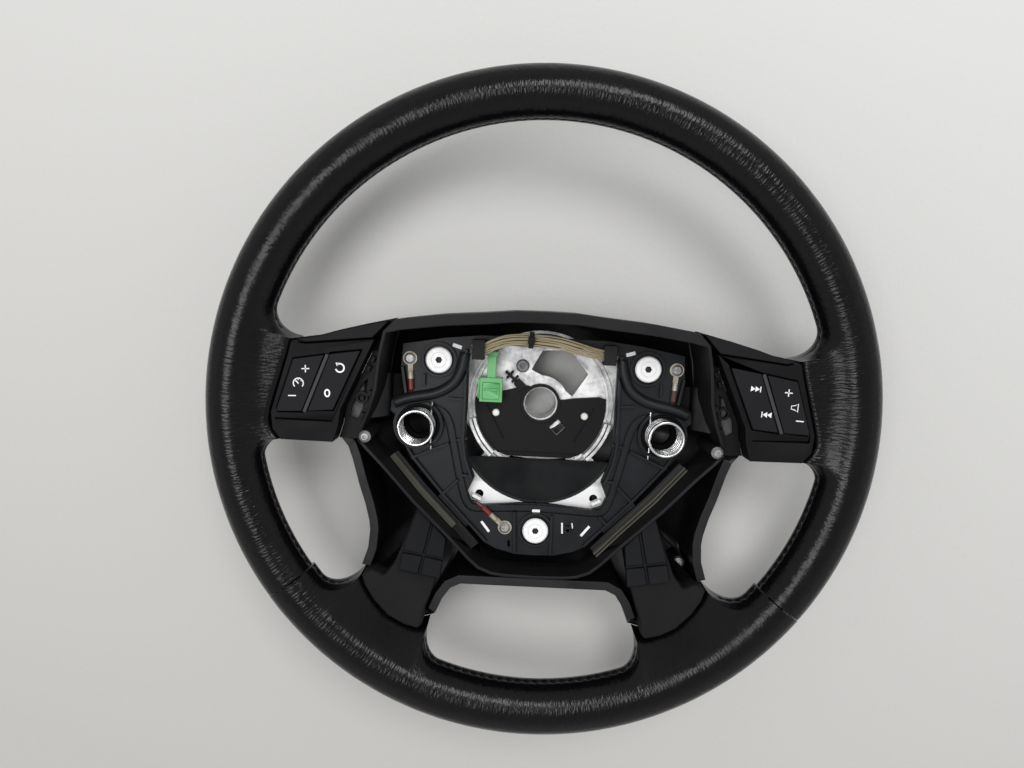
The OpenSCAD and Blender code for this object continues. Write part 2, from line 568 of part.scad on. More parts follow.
// Moulded plate that carries the horn contacts, springs and wires
module carrier_plate() color([0.23, 0.25, 0.27]) difference() {
    union() {
        difference() {
            plate(both(carrier_half), carrier_low, carrier_z);
            plate(both(mouth_half), carrier_low - cut, carrier_z + cut);
            left_and_right() plate(strip(band_line, band_w + 2), carrier_z - 1.6, carrier_z + cut);
        }
        left_and_right() {
            plate(strip([for (i = [2 : 6]) mouth_half[i] + [rib_t, 0]], rib_t), carrier_z - cut, rib_top);
            plate(strip(band_line, band_w), carrier_z - 2, carrier_z + 0.2);
            plate(strip([for (i = [4 : 5]) carrier_half[i] - [1.4, 0]], rib_t), carrier_z - cut, rib_top);
            plate(strip([for (i = [9 : 13]) carrier_half[i] + [-1.4, 0.8]], rib_t), carrier_z - cut,
        rib_top - 2);
            for (r = pair_ribs) rib(r, rib_top - 2);
            contact_seat(contact_at);
        }
        for (r = lone_ribs) rib(r, rib_top - 2);
        plate(clip_seat, carrier_z - cut, rib_top - 2);
        left_and_right() difference() {
            translate([spring_at[0], spring_at[1]]) ring(15, 13, carrier_z - cut, rib_top - 1);
            plate(strip(cable_line, 2 * cable_cover_r + 1), carrier_z, rib_top + cut);
        }
        contact_seat(contact_low_at);
    }
    left_and_right() {
        rod(contact_at, carrier_low - cut, rib_top, 4.2);
        rod(spring_at, carrier_low - cut, rib_top, cup_r + fit_gap);
        rod(spring_at, carrier_z, rib_top + cut, cup_r + 0.4 + fit_gap);
        for (q = pair_slots) slot(q);
        rod(terminal_at, carrier_low - cut, carrier_z + cut, 1.2, 24);
        plate(strip(cable_line, 2 * cable_cover_r + 0.6), carrier_z, rib_top + cut);
    }
    rod(terminal_low_at, carrier_low - cut, carrier_z + cut, 1.2, 24);
    rod(contact_low_at, carrier_low - cut, rib_top, 4.2);
    for (q = lone_slots) slot(q);
    rod(middle(clip_seat[0], clip_seat[2]), carrier_low - cut, rib_top, 1, 24);
}
// Half-round cover over the cable channel
module cable_cover() color([0.16, 0.17, 0.18]) {
    section = [for (a = [0 : 30 : 180]) cable_cover_r * [cos(a), 1.25 * sin(a)]];
    skin(carried([for (p = cable_line) [p[0], p[1], carrier_z]], section));
}
module cable_cover_right() {
    cable_cover();
}
module cable_cover_left() {
    left() cable_cover();
}

// Horn contact: stem through the carrier plate, washer face and socket
module horn_contact(p) color([0.85, 0.86, 0.88]) translate([p[0], p[1], 0]) difference() {
    rotate_extrude($fn = fn_round) polygon([[0, carrier_low], [3.8, carrier_low], [3.8, carrier_z + fit_gap],
        [contact_r - 0.6, carrier_z + fit_gap], [contact_r, carrier_z + 1], [contact_r, carrier_z + 3.4],
        [contact_r - 0.7, carrier_z + 4.1], [4.6, carrier_z + 4.1], [4.2, carrier_z + 3.7],
        [0, carrier_z + 3.7]]);
    translate([0, 0, carrier_z + 0.6]) cylinder(r = 2.1, h = 8, $fn = 6);
}
module horn_contact_right() {
    horn_contact(contact_at);
}
module horn_contact_left() {
    horn_contact([-contact_at[0], contact_at[1]]);
}
module horn_contact_bottom() {
    horn_contact(contact_low_at);
}
// Flanged cup with the guide bore for the air bag's pin
module spring_cup(p) color([0.07, 0.07, 0.08]) translate([p[0], p[1], 0])
    rotate_extrude($fn = fn_round) polygon([[guide_r, carrier_low - 6], [guide_r + 2.4, carrier_low - 6],
        [guide_r + 2.4, carrier_low - 3], [cup_r, carrier_low - 3], [cup_r, carrier_z + fit_gap],
        [cup_r + 0.4, carrier_z + fit_gap], [cup_r + 0.4, rib_top - 0.5],
    [spring_r + fit_gap, rib_top - 0.5],
        [spring_r + fit_gap, cup_floor], [guide_r, cup_floor]]);
module spring_cup_right() {
    spring_cup(spring_at);
}
module spring_cup_left() {
    spring_cup([-spring_at[0], spring_at[1]]);
}
// Compression spring with one closed turn at each end: height of its wire after t turns
spring_rise = spring_h - 2 * spring_wire_r;
end_rise = 2.2 * spring_wire_r;
spring_z = cup_floor + spring_wire_r + 0.05;
function coil_z(t) =
    t < 1 ? t * end_rise
    : t > spring_turns + 1 ? spring_rise - (spring_turns + 2 - t) * end_rise
    : end_rise + (t - 1) / spring_turns * (spring_rise - 2 * end_rise);
function spring_path() =
    let (steps = 14)
    [for (i = [0 : (spring_turns + 2) * steps])
        let (t = i / steps)
        [(spring_r - spring_wire_r) * cos(360 * t), (spring_r - spring_wire_r) * sin(360 * t), coil_z(t)]];
module horn_spring(p) color([0.8, 0.81, 0.82])
    translate([p[0], p[1], spring_z])
        skin(carried(spring_path(), round_section(spring_wire_r, 7)));
module horn_spring_right() {
    horn_spring(spring_at);
}
module horn_spring_left() {
    horn_spring([-spring_at[0], spring_at[1]]);
}
// Straight spring wire between two coils, its bent ends on the plate's ring rib; both springs wind the
// same way, so the gap that it passes lies half a turn higher on the left
wire_off = 8.2;
module retaining_wire(side) color([0.75, 0.76, 0.78]) {
    pitch = (spring_rise - 2 * end_rise) / spring_turns;
    half = acos(wire_off / (spring_r - spring_wire_r));
    run = (spring_r - spring_wire_r) * sin(half);
    tilt = side * half / 180 * pitch / 2 / run;
    z = spring_z + coil_z(side > 0 ? 3 : 3.5);
    x = side * (spring_at[0] - wire_off);
    y = spring_at[1];
    end_z = rib_top - 0.4;
    skin(carried([[x, y - 14.2, end_z], [x, y - 12, end_z + 0.1], [x, y - 10, z + 10 * tilt],
        [x, y + 10, z - 10 * tilt], [x, y + 12, end_z + 0.1], [x, y + 14.2, end_z]], round_section(0.5, 8)));
}
module retaining_wire_right() {
    retaining_wire(1);
}
module retaining_wire_left() {
    retaining_wire(-1);
}

// Ring terminal with its crimp barrel, from the screw at p towards q
module ring_terminal(p, q) color([0.72, 0.66, 0.5]) {
    a = atan2(q[1] - p[1], q[0] - p[0]);
    translate([p[0], p[1], carrier_z + 0.05]) rotate([0, 0, a]) {
        difference() {
            union() {
                cylinder(r = 4.2, h = 0.9, $fn = fn_small);
                translate([0, -1.5, 0]) cube([8, 3, 0.9]);
            }
            translate([0, 0, -cut]) cylinder(r = 2.1, h = 2, $fn = fn_small);
        }
        translate([7.6, 0, 1.7]) rotate([0, 90, 0]) difference() {
            cylinder(r = 1.7, h = 4.6, $fn = fn_small);
            translate([0, 0, 1]) cylinder(r = 1, h = 4.6, $fn = 24);
        }
    }
}
module ring_terminal_right() {
    ring_terminal(terminal_at, terminal_tail);
}
module ring_terminal_left() {
    ring_terminal([-terminal_at[0], terminal_at[1]], [-terminal_tail[0], terminal_tail[1]]);
}
module ring_terminal_bottom() {
    ring_terminal(terminal_low_at, terminal_low_tail);
}
module terminal_screw(p) color([0.6, 0.6, 0.62]) translate([p[0], p[1], 0]) difference() {
    rotate_extrude($fn = fn_small) polygon([[0, carrier_low + 0.5], [1.1, carrier_low + 0.5],
        [1.1, carrier_z + 1], [3.3, carrier_z + 1], [3.3, carrier_z + 2], [2.2, carrier_z + 2.9],
        [0, carrier_z + 3.1]]);
    translate([-0.4, -2, carrier_z + 2.2]) cube([0.8, 4, 2]);
    translate([-2, -0.4, carrier_z + 2.2]) cube([4, 0.8, 2]);
}
module terminal_screw_right() {
    terminal_screw(terminal_at);
}
module terminal_screw_left() {
    terminal_screw([-terminal_at[0], terminal_at[1]]);
}
module terminal_screw_bottom() {
    terminal_screw(terminal_low_at);
}
// Lead with its shrink sleeve over the crimp barrel, on to where it goes under a channel
module lead(p, q, far) color([0.5, 0.08, 0.07]) {
    d = unit(q - p);
    s = p + d * 12.4;
    e = s + d * 6.3;
    skin(carried([[s[0], s[1], carrier_z + 2], [e[0], e[1], carrier_z + 2]], round_section(1.75, 10)));
    skin(carried([[e[0], e[1], carrier_z + 2], [far[0], far[1], carrier_z + 1]], round_section(0.9, 8)));
}
module lead_right() {
    lead(terminal_at, terminal_tail, [78.5, 6] * plan);
}
module lead_left() {
    lead([-terminal_at[0], terminal_at[1]], [-terminal_tail[0], terminal_tail[1]], [-78.5, 6] * plan);
}
module lead_bottom() {
    lead(terminal_low_at, terminal_low_tail, [-36.4, -60.6] * plan);
}

// Black plate over the web, with a collar round the hub hole
module hub_cover() color([0.07, 0.07, 0.07]) difference() {
    union() {
        plate(hub_cover_outline, hub_h, hub_h + cover_plate_t);
        rod([0, 0], hub_h, hub_h + cover_plate_t + 0.8, 12.4, fn_round);
        plate([[-30, -30], [30, -30], [20, -34], [-20, -34]] * plan, hub_h, hub_h + 1.2);
        plate(clip_block, hub_h, hub_h + 5);
        plate(strip(clip_arm, 1.6), hub_h, hub_h + 3.6);
        for (b = clip_bars) plate(strip(b * plan, 1.4), hub_h, hub_h + 4.4);
    }
    translate([0, 0, -cut]) cylinder(r = bore_r + 0.8, h = 40, $fn = fn_round);
    plate(peephole, hub_h - cut, hub_h + 8);
    left_and_right() rod(pin_at, hub_h - cut, hub_h + 6, 1.5, 24);
    for (s = [-1, 1]) plate(strip([[s * 33, -2], [s * 22, -23]] * plan, 1), hub_h + 2, hub_h + 6);
    ring(60, ring_r - 1.5 * ring_rib_t - 0.8 - fit_gap, hub_h - cut, hub_h + 8, fn_round);
}
// Shallow dish that fills the yoke's round hole below the hub cover
module hub_bowl() color([0.18, 0.19, 0.2]) difference() {
    rod([0, yoke_y], bowl_z, yoke_z + yoke_t, yoke_hole_r - fit_gap, fn_round);
    rod([0, yoke_y], bowl_z + bowl_t, yoke_z + yoke_t + cut, yoke_hole_r - fit_gap - bowl_t, fn_round);
    translate([-2 * ring_r, bowl_edge, 0]) cube([4 * ring_r, 4 * ring_r, rim_z]);
}
module hub_pins() color([0.9, 0.9, 0.88]) left_and_right() translate([pin_at[0], pin_at[1], 0])
    rotate_extrude($fn = fn_small) polygon([[0, hub_h + 0.2], [1.4, hub_h + 0.2],
        [1.4, hub_h + cover_plate_t], [2.2, hub_h + cover_plate_t], [2.2, hub_h + cover_plate_t + 2.4],
        [1.5, hub_h + cover_plate_t + 3.2], [0, hub_h + cover_plate_t + 3.2]]);
module hub_screw() color([0.7, 0.7, 0.72]) translate([hub_screw_at[0], hub_screw_at[1], 0]) difference() {
    rotate_extrude($fn = fn_small) polygon([[0, web_z], [1.5, web_z], [1.5, hub_h], [4, hub_h],
        [4, hub_h + 2.6], [3.4, hub_h + 3.2], [0, hub_h + 3.2]]);
    translate([0, 0, hub_h + 1]) cylinder(r = 1.8, h = 4, $fn = 6);
}
// Air bag connector parked in the bay: body, latch, side fin and two contact cavities
module bag_connector() color([0.42, 0.68, 0.48]) translate(connector_at * (plan - 1)) difference() {
    z0 = hub_h + cover_plate_t;
    union() {
        translate([-37.8, 1.2, z0]) cube([13.8, 14.6, 12]);
        translate([-33.6, 15, z0 + 2]) cube([5.2, 16, 8]);
        translate([-34.4, 29, z0 + 1.4]) cube([6.8, 3, 9.2]);
        translate([-39, 3, z0 + 4]) cube([1.6, 12, 7]);
        translate([-36, 3, z0 + 11]) cube([10, 10, 2.2]);
    }
    for (x = [-34.8, -29.8]) translate([x, 0.6, z0 + 4]) cube([3, 6, 3.4]);
    translate([-35, 8, z0 + 12.4]) cube([8, 1.4, 3]);
}
module loom_ribbon() color([0.6, 0.54, 0.42]) {
    section = [for (j = [0 : 9]) [ribbon_w * cos(j * 36), 1.3 * sin(j * 36)]];
    skin(carried(curve(ribbon_path, 4), section));
}
module cable_tie() color([0.06, 0.06, 0.06]) translate(ribbon_path[5]) rotate([0, 90, -3]) difference() {
    union() {
        translate([-2.6, -4.8, -1.4]) cube([5.2, 9.6, 2.8]);
        translate([-5, -2, -2]) cube([3, 4, 4]);
    }
    translate([-1.6, -3.7, -3]) cube([3.2, 7.4, 6]);
}
// Grey block that holds an end of the ribbon on the carrier plate's rib
module loom_clip() color([0.32, 0.33, 0.34]) difference() {
    translate([35.2 * plan, 27.6 * plan, carrier_z]) cube([7.4, 11.6, 9.4]);
    translate([35.2 * plan - 1.2, 27.6 * plan + 1, carrier_z + 1.6]) cube([11, 9.6, 6.6]);
}
module loom_clip_right() {
    loom_clip();
}
module loom_clip_left() {
    left() loom_clip();
}

// Middle of a key's hinge and the direction of its pin
function middle(a, b) = (a + b) / 2;
inner_ends = [middle(key_inner[0], key_inner[1]), middle(key_inner[2], key_inner[3])];
outer_ends = [middle(key_outer[0], key_outer[1]), middle(key_outer[3], key_outer[4])];
module hinge_pin(ends, r, extra) {
    d = ends[1] - ends[0];
    translate([ends[0][0], ends[0][1], key_pin_z]) rotate([0, 0, polar(d)]) translate([-extra, 0, 0])
        rotate([0, 90, 0]) cylinder(r = r, h = norm(d) + 2 * extra, $fn = 24);
}
module key(outline, ends) {
    face = inset([for (i = [len(outline) - 1 : -1 : 0]) outline[i]], key_gap);
    plate(face, key_floor + 2, pod_z + key_proud);
    hinge_pin(ends, key_pin_r, 0.4);
}
// Switch pod: housing with pockets for its keys, a raised rib between them and a seat for the strip
module pod() color([0.14, 0.14, 0.15]) difference() {
    union() {
        plate(pod_outline, pod_low, pod_z);
        plate(strip([[121.8, 28.6], [134.2, -4.4]] * plan, 2), pod_z - 2, pod_z + 1.8);
    }
    plate(key_inner, key_floor, pod_z + cut);
    plate(key_outer, key_floor, pod_z + cut);
    hinge_pin(inner_ends, key_pin_r + fit_gap, 0.8);
    hinge_pin(outer_ends, key_pin_r + fit_gap, 0.8);
    plate([[80, 60], [80, 43], [96.4, 38], [135, 33.9], [150, 36.4],
    [150, 60]] * plan, key_floor, pod_z + cut);
    plate(strip([[118.6, -9.4], [151, -8.8]] * plan, 0.8), pod_z - 1, pod_z + cut);
    for (p = stems) rod(p, pod_low + 3, key_floor + 1, 1.5, 24);
}
module pod_right() {
    pod();
}
module pod_left() {
    left() pod();
}
// Strip along the top of a pod, its underside at z0, on two stems
module top_strip(z0, gap) {
    plate(inset([for (i = [len(bar_outline) - 1 : -1 : 0]) bar_outline[i]], gap), z0, pod_z + 0.6);
    for (p = stems) rod(p, pod_low + 4.4, z0 + 1, 1.5 - fit_gap, 24);
}
module bar_key_left() color([0.13, 0.13, 0.14]) left() top_strip(key_floor + bar_travel + fit_gap, 0.4);
module trim_strip_right() color([0.13, 0.13, 0.14]) top_strip(key_floor, 0.2);
module key_speed() color([0.16, 0.16, 0.17]) left() key(key_outer, outer_ends);
module key_resume() color([0.16, 0.16, 0.17]) left() key(key_inner, inner_ends);
module key_skip() color([0.16, 0.16, 0.17]) key(key_inner, inner_ends);
module key_volume() color([0.16, 0.16, 0.17]) key(key_outer, outer_ends);
// Flange between a pod and the bay frame, open over the side spoke, with its clips
module pod_bracket() color([0.1, 0.1, 0.11]) {
    difference() {
        union() {
            plate(bracket_outline, pod_low, pod_low + 2.4);
            rod(bracket_eye, pod_low, pod_low + 4, 3.6);
        }
        difference() {
            plate(bracket_window, pod_low - cut, pod_low + 3);
            rod(bracket_eye, pod_low - 1, pod_low + 4, 3.6);
        }
        rod(bracket_eye, pod_low - cut, pod_low + 5, 2.2);
    }
    for (p = bracket_teeth)
        translate([p[0], p[1], pod_low + 2]) rotate([0, 0, -65]) translate([-1.6, -1, 0]) cube([3.2, 2,
        4.4]);
}
module pod_bracket_right() {
    pod_bracket();
}
module pod_bracket_left() {
    left() pod_bracket();
}

module housing_screw(p) color([0.7, 0.7, 0.72]) translate([p[0], p[1], 0]) difference() {
    rotate_extrude($fn = fn_small) polygon([[0, screw_z - 8], [1.4, screw_z - 8], [1.4, screw_z],
        [3.4, screw_z], [3.4, screw_z + 0.8], [2, screw_z + 2.2], [0, screw_z + 2.4]]);
    translate([0, 0, screw_z + 1]) cylinder(r = 1.2, h = 3, $fn = 6);
}
module housing_screw_right() {
    housing_screw(housing_screw_at);
}
module housing_screw_left() {
    housing_screw([-housing_screw_at[0], housing_screw_at[1]]);
}
module lower_screw() color([0.7, 0.7, 0.72]) translate([lower_screw_at[0], lower_screw_at[1], lower_screw_z])
    difference() {
        rotate_extrude($fn = fn_small) polygon([[0, -8], [1.4, -8], [1.4, 0], [3.2, 0], [3.2, 0.6],
    [1.8, 1.8],
            [0, 2]]);
        translate([0, 0, 0.8]) cylinder(r = 1, h = 3, $fn = 6);
    }

armature();
rim_grip_upper();
rim_grip_lower();
back_cover();
bay_frame();
spoke_foam_left();
spoke_foam_right();
spoke_pad_left();
spoke_pad_right();
seal_strip_left();
seal_strip_right();
carrier_plate();
cable_cover_left();
cable_cover_right();
horn_contact_left();
horn_contact_right();
horn_contact_bottom();
horn_spring_left();
horn_spring_right();
spring_cup_left();
spring_cup_right();
retaining_wire_left();
retaining_wire_right();
ring_terminal_left();
ring_terminal_right();
ring_terminal_bottom();
terminal_screw_left();
terminal_screw_right();
terminal_screw_bottom();
lead_left();
lead_right();
lead_bottom();
hub_cover();
hub_bowl();
hub_pins();
hub_screw();
bag_connector();
loom_ribbon();
cable_tie();
loom_clip_left();
loom_clip_right();
pod_left();
pod_right();
pod_bracket_left();
pod_bracket_right();
key_speed();
key_resume();
key_skip();
key_volume();
bar_key_left();
trim_strip_right();
housing_screw_left();
housing_screw_right();
lower_screw();
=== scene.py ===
"""Looks of a car steering wheel whose driver air bag is out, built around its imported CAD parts.

X to the right, Y to twelve o'clock, Z from the column to the driver. Shapes are given in millimetres
and built in metres; textures, stage and camera are given in metres.
"""
import json
import math

import bmesh
import bpy
import numpy as np
from mathutils import Matrix, Vector


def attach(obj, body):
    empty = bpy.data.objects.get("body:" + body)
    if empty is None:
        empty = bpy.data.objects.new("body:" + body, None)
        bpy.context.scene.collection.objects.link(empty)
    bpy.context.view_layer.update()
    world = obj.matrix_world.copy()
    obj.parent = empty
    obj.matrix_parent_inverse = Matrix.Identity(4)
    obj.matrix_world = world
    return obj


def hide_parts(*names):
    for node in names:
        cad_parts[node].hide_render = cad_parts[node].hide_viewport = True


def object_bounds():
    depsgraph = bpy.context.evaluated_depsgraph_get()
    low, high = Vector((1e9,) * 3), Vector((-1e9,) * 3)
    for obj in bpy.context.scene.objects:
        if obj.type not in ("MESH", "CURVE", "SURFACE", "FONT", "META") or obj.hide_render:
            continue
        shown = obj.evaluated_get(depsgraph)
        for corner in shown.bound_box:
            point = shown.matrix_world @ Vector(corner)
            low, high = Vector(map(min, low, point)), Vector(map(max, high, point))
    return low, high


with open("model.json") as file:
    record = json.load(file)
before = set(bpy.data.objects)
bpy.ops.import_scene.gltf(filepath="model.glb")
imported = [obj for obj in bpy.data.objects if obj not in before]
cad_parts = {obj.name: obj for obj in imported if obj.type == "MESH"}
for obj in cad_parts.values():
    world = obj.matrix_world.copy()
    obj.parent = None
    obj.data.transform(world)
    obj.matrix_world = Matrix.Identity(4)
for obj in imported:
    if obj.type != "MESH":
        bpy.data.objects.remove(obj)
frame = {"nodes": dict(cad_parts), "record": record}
cad_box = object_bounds()
MM = 0.001
DISC_Z = 0.0417           # height of the contact discs' faces
LIP_RISE = 0.06           # rise of the cover's lips towards twelve o'clock
SHARP = math.radians(35)  # a CAD copy's edges that turn more than this are shaded sharp
CREASE = math.radians(40)  # and those of a shape made here


# Surfaces

def grid_faces(m, n, along):
    """Quads between m rings of n points, and from the last ring to the first where closed along."""
    i = np.arange(m if along else m - 1)[:, None]
    j = np.arange(n)[None, :]
    k, l = (i + 1) % m, (j + 1) % n
    return np.stack([i * n + j, i * n + l, k * n + l, k * n + j], -1).reshape(-1, 4)


class Body:
    """Collects points and UV coordinates, in millimetres, into one mesh in metres."""

    def __init__(self):
        self.points, self.faces, self.uvs, self.count = [], [], [], 0

    def add(self, points, along=False, uv=None, flip=False):
        """A grid of rings, closed along itself or by a fan of triangles at each end.

        Rings run anticlockwise seen against the travel; flip turns the faces over. Where uv is not given,
        it is the mean distance travelled from ring to ring and from point to point.
        """
        m, n = points.shape[:2]
        quads = grid_faces(m, n, along)
        if uv is None:
            step = np.linalg.norm(np.diff(points, axis=0, append=points[:1]), axis=2).mean(1)
            side = np.linalg.norm(np.diff(points, axis=1, append=points[:, :1]), axis=2).mean(0)
            uv = (np.concatenate([[0], np.cumsum(step)]), np.concatenate([[0], np.cumsum(side)]))
        i, j = np.divmod(quads[:, 0], n)
        corner = np.stack([np.stack([uv[0][i + a], uv[1][j + b]], -1)
                           for a, b in ((0, 0), (0, 1), (1, 1), (1, 0))], 1)
        self.points.append(points.reshape(-1, 3))
        self.faces.append((quads if flip else quads[:, ::-1]) + self.count)
        self.uvs.append(corner if flip else corner[:, ::-1])
        if not along:
            for ring, turn in ((0, not flip), (m - 1, flip)):
                middle = points[ring].mean(0)
                self.points.append(middle[None])
                c = self.count + m * n + (0 if ring == 0 else 1)
                a = self.count + ring * n + np.arange(n)
                b = self.count + ring * n + (np.arange(n) + 1) % n
                tri = np.stack([np.full(n, c), b, a] if turn else [np.full(n, c), a, b], -1)
                self.faces.append(tri)
                self.uvs.append(np.zeros((n, 3, 2)))
            self.count += 2
        self.count += m * n
        return self

    def prism(self, outline, z0, z1):
        """A plate with an anticlockwise outline between two heights."""
        outline = np.asarray(outline, float)
        n = len(outline)
        low = np.c_[outline, np.full(n, z0)]
        high = np.c_[outline, np.full(n, z1)]
        self.points.append(np.concatenate([low, high]))
        j = np.arange(n)
        k = (j + 1) % n
        self.faces.append(np.stack([j, k, k + n, j + n], -1) + self.count)
        self.uvs.append(np.zeros((n, 4, 2)))
        self.faces.append((n + j)[None] + self.count)
        self.uvs.append(outline[None])
        self.faces.append(j[::-1][None] + self.count)
        self.uvs.append(outline[::-1][None])
        self.count += 2 * n
        return self

    def build(self, name, material, slot, body="root", stands_for=()):
        """The mesh object, in metres, riding on its body."""
        mesh = bpy.data.meshes.new(name)
        points = np.concatenate(self.points) * MM
        sizes = np.concatenate([np.full(len(f), f.shape[1]) for f in self.faces])
        loops = np.concatenate([f.ravel() for f in self.faces])
        mesh.vertices.add(len(points))
        mesh.vertices.foreach_set("co", points.astype(np.float32).ravel())
        mesh.loops.add(len(loops))
        mesh.loops.foreach_set("vertex_index", loops.astype(np.int32))
        mesh.polygons.add(len(sizes))
        mesh.polygons.foreach_set("loop_start", (np.cumsum(sizes) - sizes).astype(np.int32))
        mesh.update(calc_edges=True)
        corners = np.concatenate([u.reshape(-1, 2) for u in self.uvs]) * MM
        uv = mesh.uv_layers.new(name="surface")
        uv.data.foreach_set("uv", corners.astype(np.float32).ravel())
        mesh.validate()
        mesh.shade_smooth()
        mesh.set_sharp_from_angle(angle=CREASE)
        return place(name, mesh, material, body, stands_for)


def place(name, mesh, material, body="root", stands_for=()):
    """Puts a finished mesh in the scene with its material, on its body, and hides the CAD parts it stands
    for.
    """
    obj = bpy.data.objects.new(name, mesh)
    bpy.context.scene.collection.objects.link(obj)
    mesh.materials.clear()
    mesh.materials.append(material)
    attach(obj, body)
    if stands_for:
        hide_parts(*stands_for)
    return obj


def spread(rings, n):
    """n points on each closed ring, evenly spaced along its length.

    One interpolation serves all rings: ring k runs from 2k to 2k + 1.
    """
    m = len(rings)
    shut = np.concatenate([rings, rings[:, :1]], 1)
    steps = np.linalg.norm(np.diff(shut, axis=1), axis=2)
    run = np.concatenate([np.zeros((m, 1)), np.cumsum(steps, 1)], 1)
    run /= run[:, -1:]
    lift = 2.0 * np.arange(m)[:, None]
    have = (run + lift).ravel()
    want = (np.linspace(0, 1, n, endpoint=False)[None] + lift).ravel()
    axes = [np.interp(want, have, shut[..., k].ravel()) for k in range(3)]
    return np.stack(axes, -1).reshape(m, n, 3)


def smooth_line(points, k):
    """Catmull-Rom curve through the points of an open line, k steps between two points."""
    p = np.asarray(points, float)
    before, after = p[np.r_[0, 0:len(p) - 2]], p[np.r_[2:len(p), len(p) - 1]]
    a, b, c, d = (q[:, None] for q in (before, p[:-1], p[1:], after))
    t = (np.arange(k) / k)[None, :, None]
    line = 0.5 * (2 * b + (c - a) * t + (2 * a - 5 * b + 4 * c - d) * t ** 2
                  + (3 * b - a - 3 * c + d) * t ** 3)
    return np.concatenate([line.reshape(-1, p.shape[1]), p[-1:]])


def frames(path):
    """Direction, side and upward vectors at each point of a path."""
    d = np.gradient(path, axis=0)
    d /= np.linalg.norm(d, axis=1)[:, None]
    s = np.cross(d, np.array([[0.0, 0.0, 1.0]]))
    s /= np.linalg.norm(s, axis=1)[:, None]
    return d, s, np.cross(s, d)


def tube(path, radius, sides):
    """Rings of a round section carried along a path: radius times cosine sideways and sine upwards."""
    _, s, u = frames(path)
    a = np.linspace(0, 2 * np.pi, sides, endpoint=False)[None, :, None]
    return path[:, None] + radius * (np.cos(a) * s[:, None] + np.sin(a) * u[:, None])


# Materials

def linear(r, g, b):
    """A colour seen as r, g, b out of 255 in linear light."""
    c = np.array([r, g, b]) / 255
    c = np.where(c <= 0.04045, c / 12.92, ((c + 0.055) / 1.055) ** 2.4)
    return (*map(float, c), 1.0)


class Finish:
    """A Principled material whose surface detail comes from a few textures on one set of coordinates."""

    def __init__(self, name, colour, roughness, metallic=0.0, specular=0.5, uv=False):
        self.mat = bpy.data.materials.new(name)
        self.mat.use_nodes = True
        self.tree = self.mat.node_tree
        self.shader = self.tree.nodes["Principled BSDF"]
        self.shader.inputs["Base Color"].default_value = colour
        self.shader.inputs["Roughness"].default_value = roughness
        self.shader.inputs["Metallic"].default_value = metallic
        self.shader.inputs["Specular IOR Level"].default_value = specular
        self.colour = self.tinted = colour
        self.at = self.tree.nodes.new("ShaderNodeTexCoord").outputs["UV" if uv else "Object"]
        self.normal = None

    def node(self, kind, **inputs):
        """A new node with some of its input values; an underscore stands for a space in an input's name."""
        n = self.tree.nodes.new(kind)
        for name, value in inputs.items():
            n.inputs[name.replace("_", " ")].default_value = value
        return n

    def math(self, operation, *values):
        """One operation on texture values and numbers."""
        n = self.node("ShaderNodeMath")
        n.operation = operation
        for socket, value in zip(n.inputs, values):
            if isinstance(value, (int, float)):
                socket.default_value = value
            else:
                self.link(value, socket)
        return n.outputs[0]

    def link(self, a, b):
        self.tree.links.new(a, b)

    def stretched(self, x, y):
        """Surface coordinates scaled along and across, in waves per metre."""
        n = self.node("ShaderNodeMapping", Scale=(x, y, 1.0))
        self.link(self.at, n.inputs["Vector"])
        return n.outputs["Vector"]

    def parts(self):
        """The three coordinates as single values, by their names X, Y and Z."""
        n = self.node("ShaderNodeSeparateXYZ")
        self.link(self.at, n.inputs[0])
        return n.outputs

    def noise(self, at, scale, detail, roughness):
        n = self.node("ShaderNodeTexNoise", Scale=scale, Detail=detail, Roughness=roughness)
        self.link(at, n.inputs["Vector"])
        return n.outputs["Fac"]

    def cells(self, at):
        """Distance to the nearest point of a scatter with one point per unit."""
        n = self.node("ShaderNodeTexVoronoi", Scale=1.0)
        self.link(at, n.inputs["Vector"])
        return n.outputs["Distance"]

    def ramp(self, value, low, high, a=0.0, b=1.0):
        """Straight from a at low to b at high, and level beyond them."""
        n = self.node("ShaderNodeMapRange", From_Min=low, From_Max=high, To_Min=a, To_Max=b)
        self.link(value, n.inputs["Value"])
        return n.outputs["Result"]

    def bump(self, height, depth):
        """Adds a relief of the given depth in metres."""
        n = self.node("ShaderNodeBump", Strength=1.0, Distance=depth)
        self.link(height, n.inputs["Height"])
        if self.normal is not None:
            self.link(self.normal, n.inputs["Normal"])
        self.turn(n)

    def round_edges(self, radius):
        """Shades sharp edges as if rounded by a radius in metres."""
        n = self.node("ShaderNodeBevel", Radius=radius)
        n.samples = 4
        self.turn(n)

    def turn(self, node):
        """Takes the surface's direction from a node."""
        self.normal = node.outputs["Normal"]
        self.link(self.normal, self.shader.inputs["Normal"])

    def tint(self, factor, colour):
        """Lays a colour over the base by a texture value."""
        n = self.node("ShaderNodeMix")
        n.data_type = "RGBA"
        self.link(factor, n.inputs[0])
        if self.tinted is self.colour:
            n.inputs[6].default_value = self.colour
        else:
            self.link(self.tinted, n.inputs[6])
        n.inputs[7].default_value = colour
        self.tinted = n.outputs[2]
        self.link(self.tinted, self.shader.inputs["Base Color"])

    def rough(self, value, low, high, a, b):
        """Roughness from a to b where the texture value runs from low to high."""
        self.link(self.ramp(value, low, high, a, b), self.shader.inputs["Roughness"])


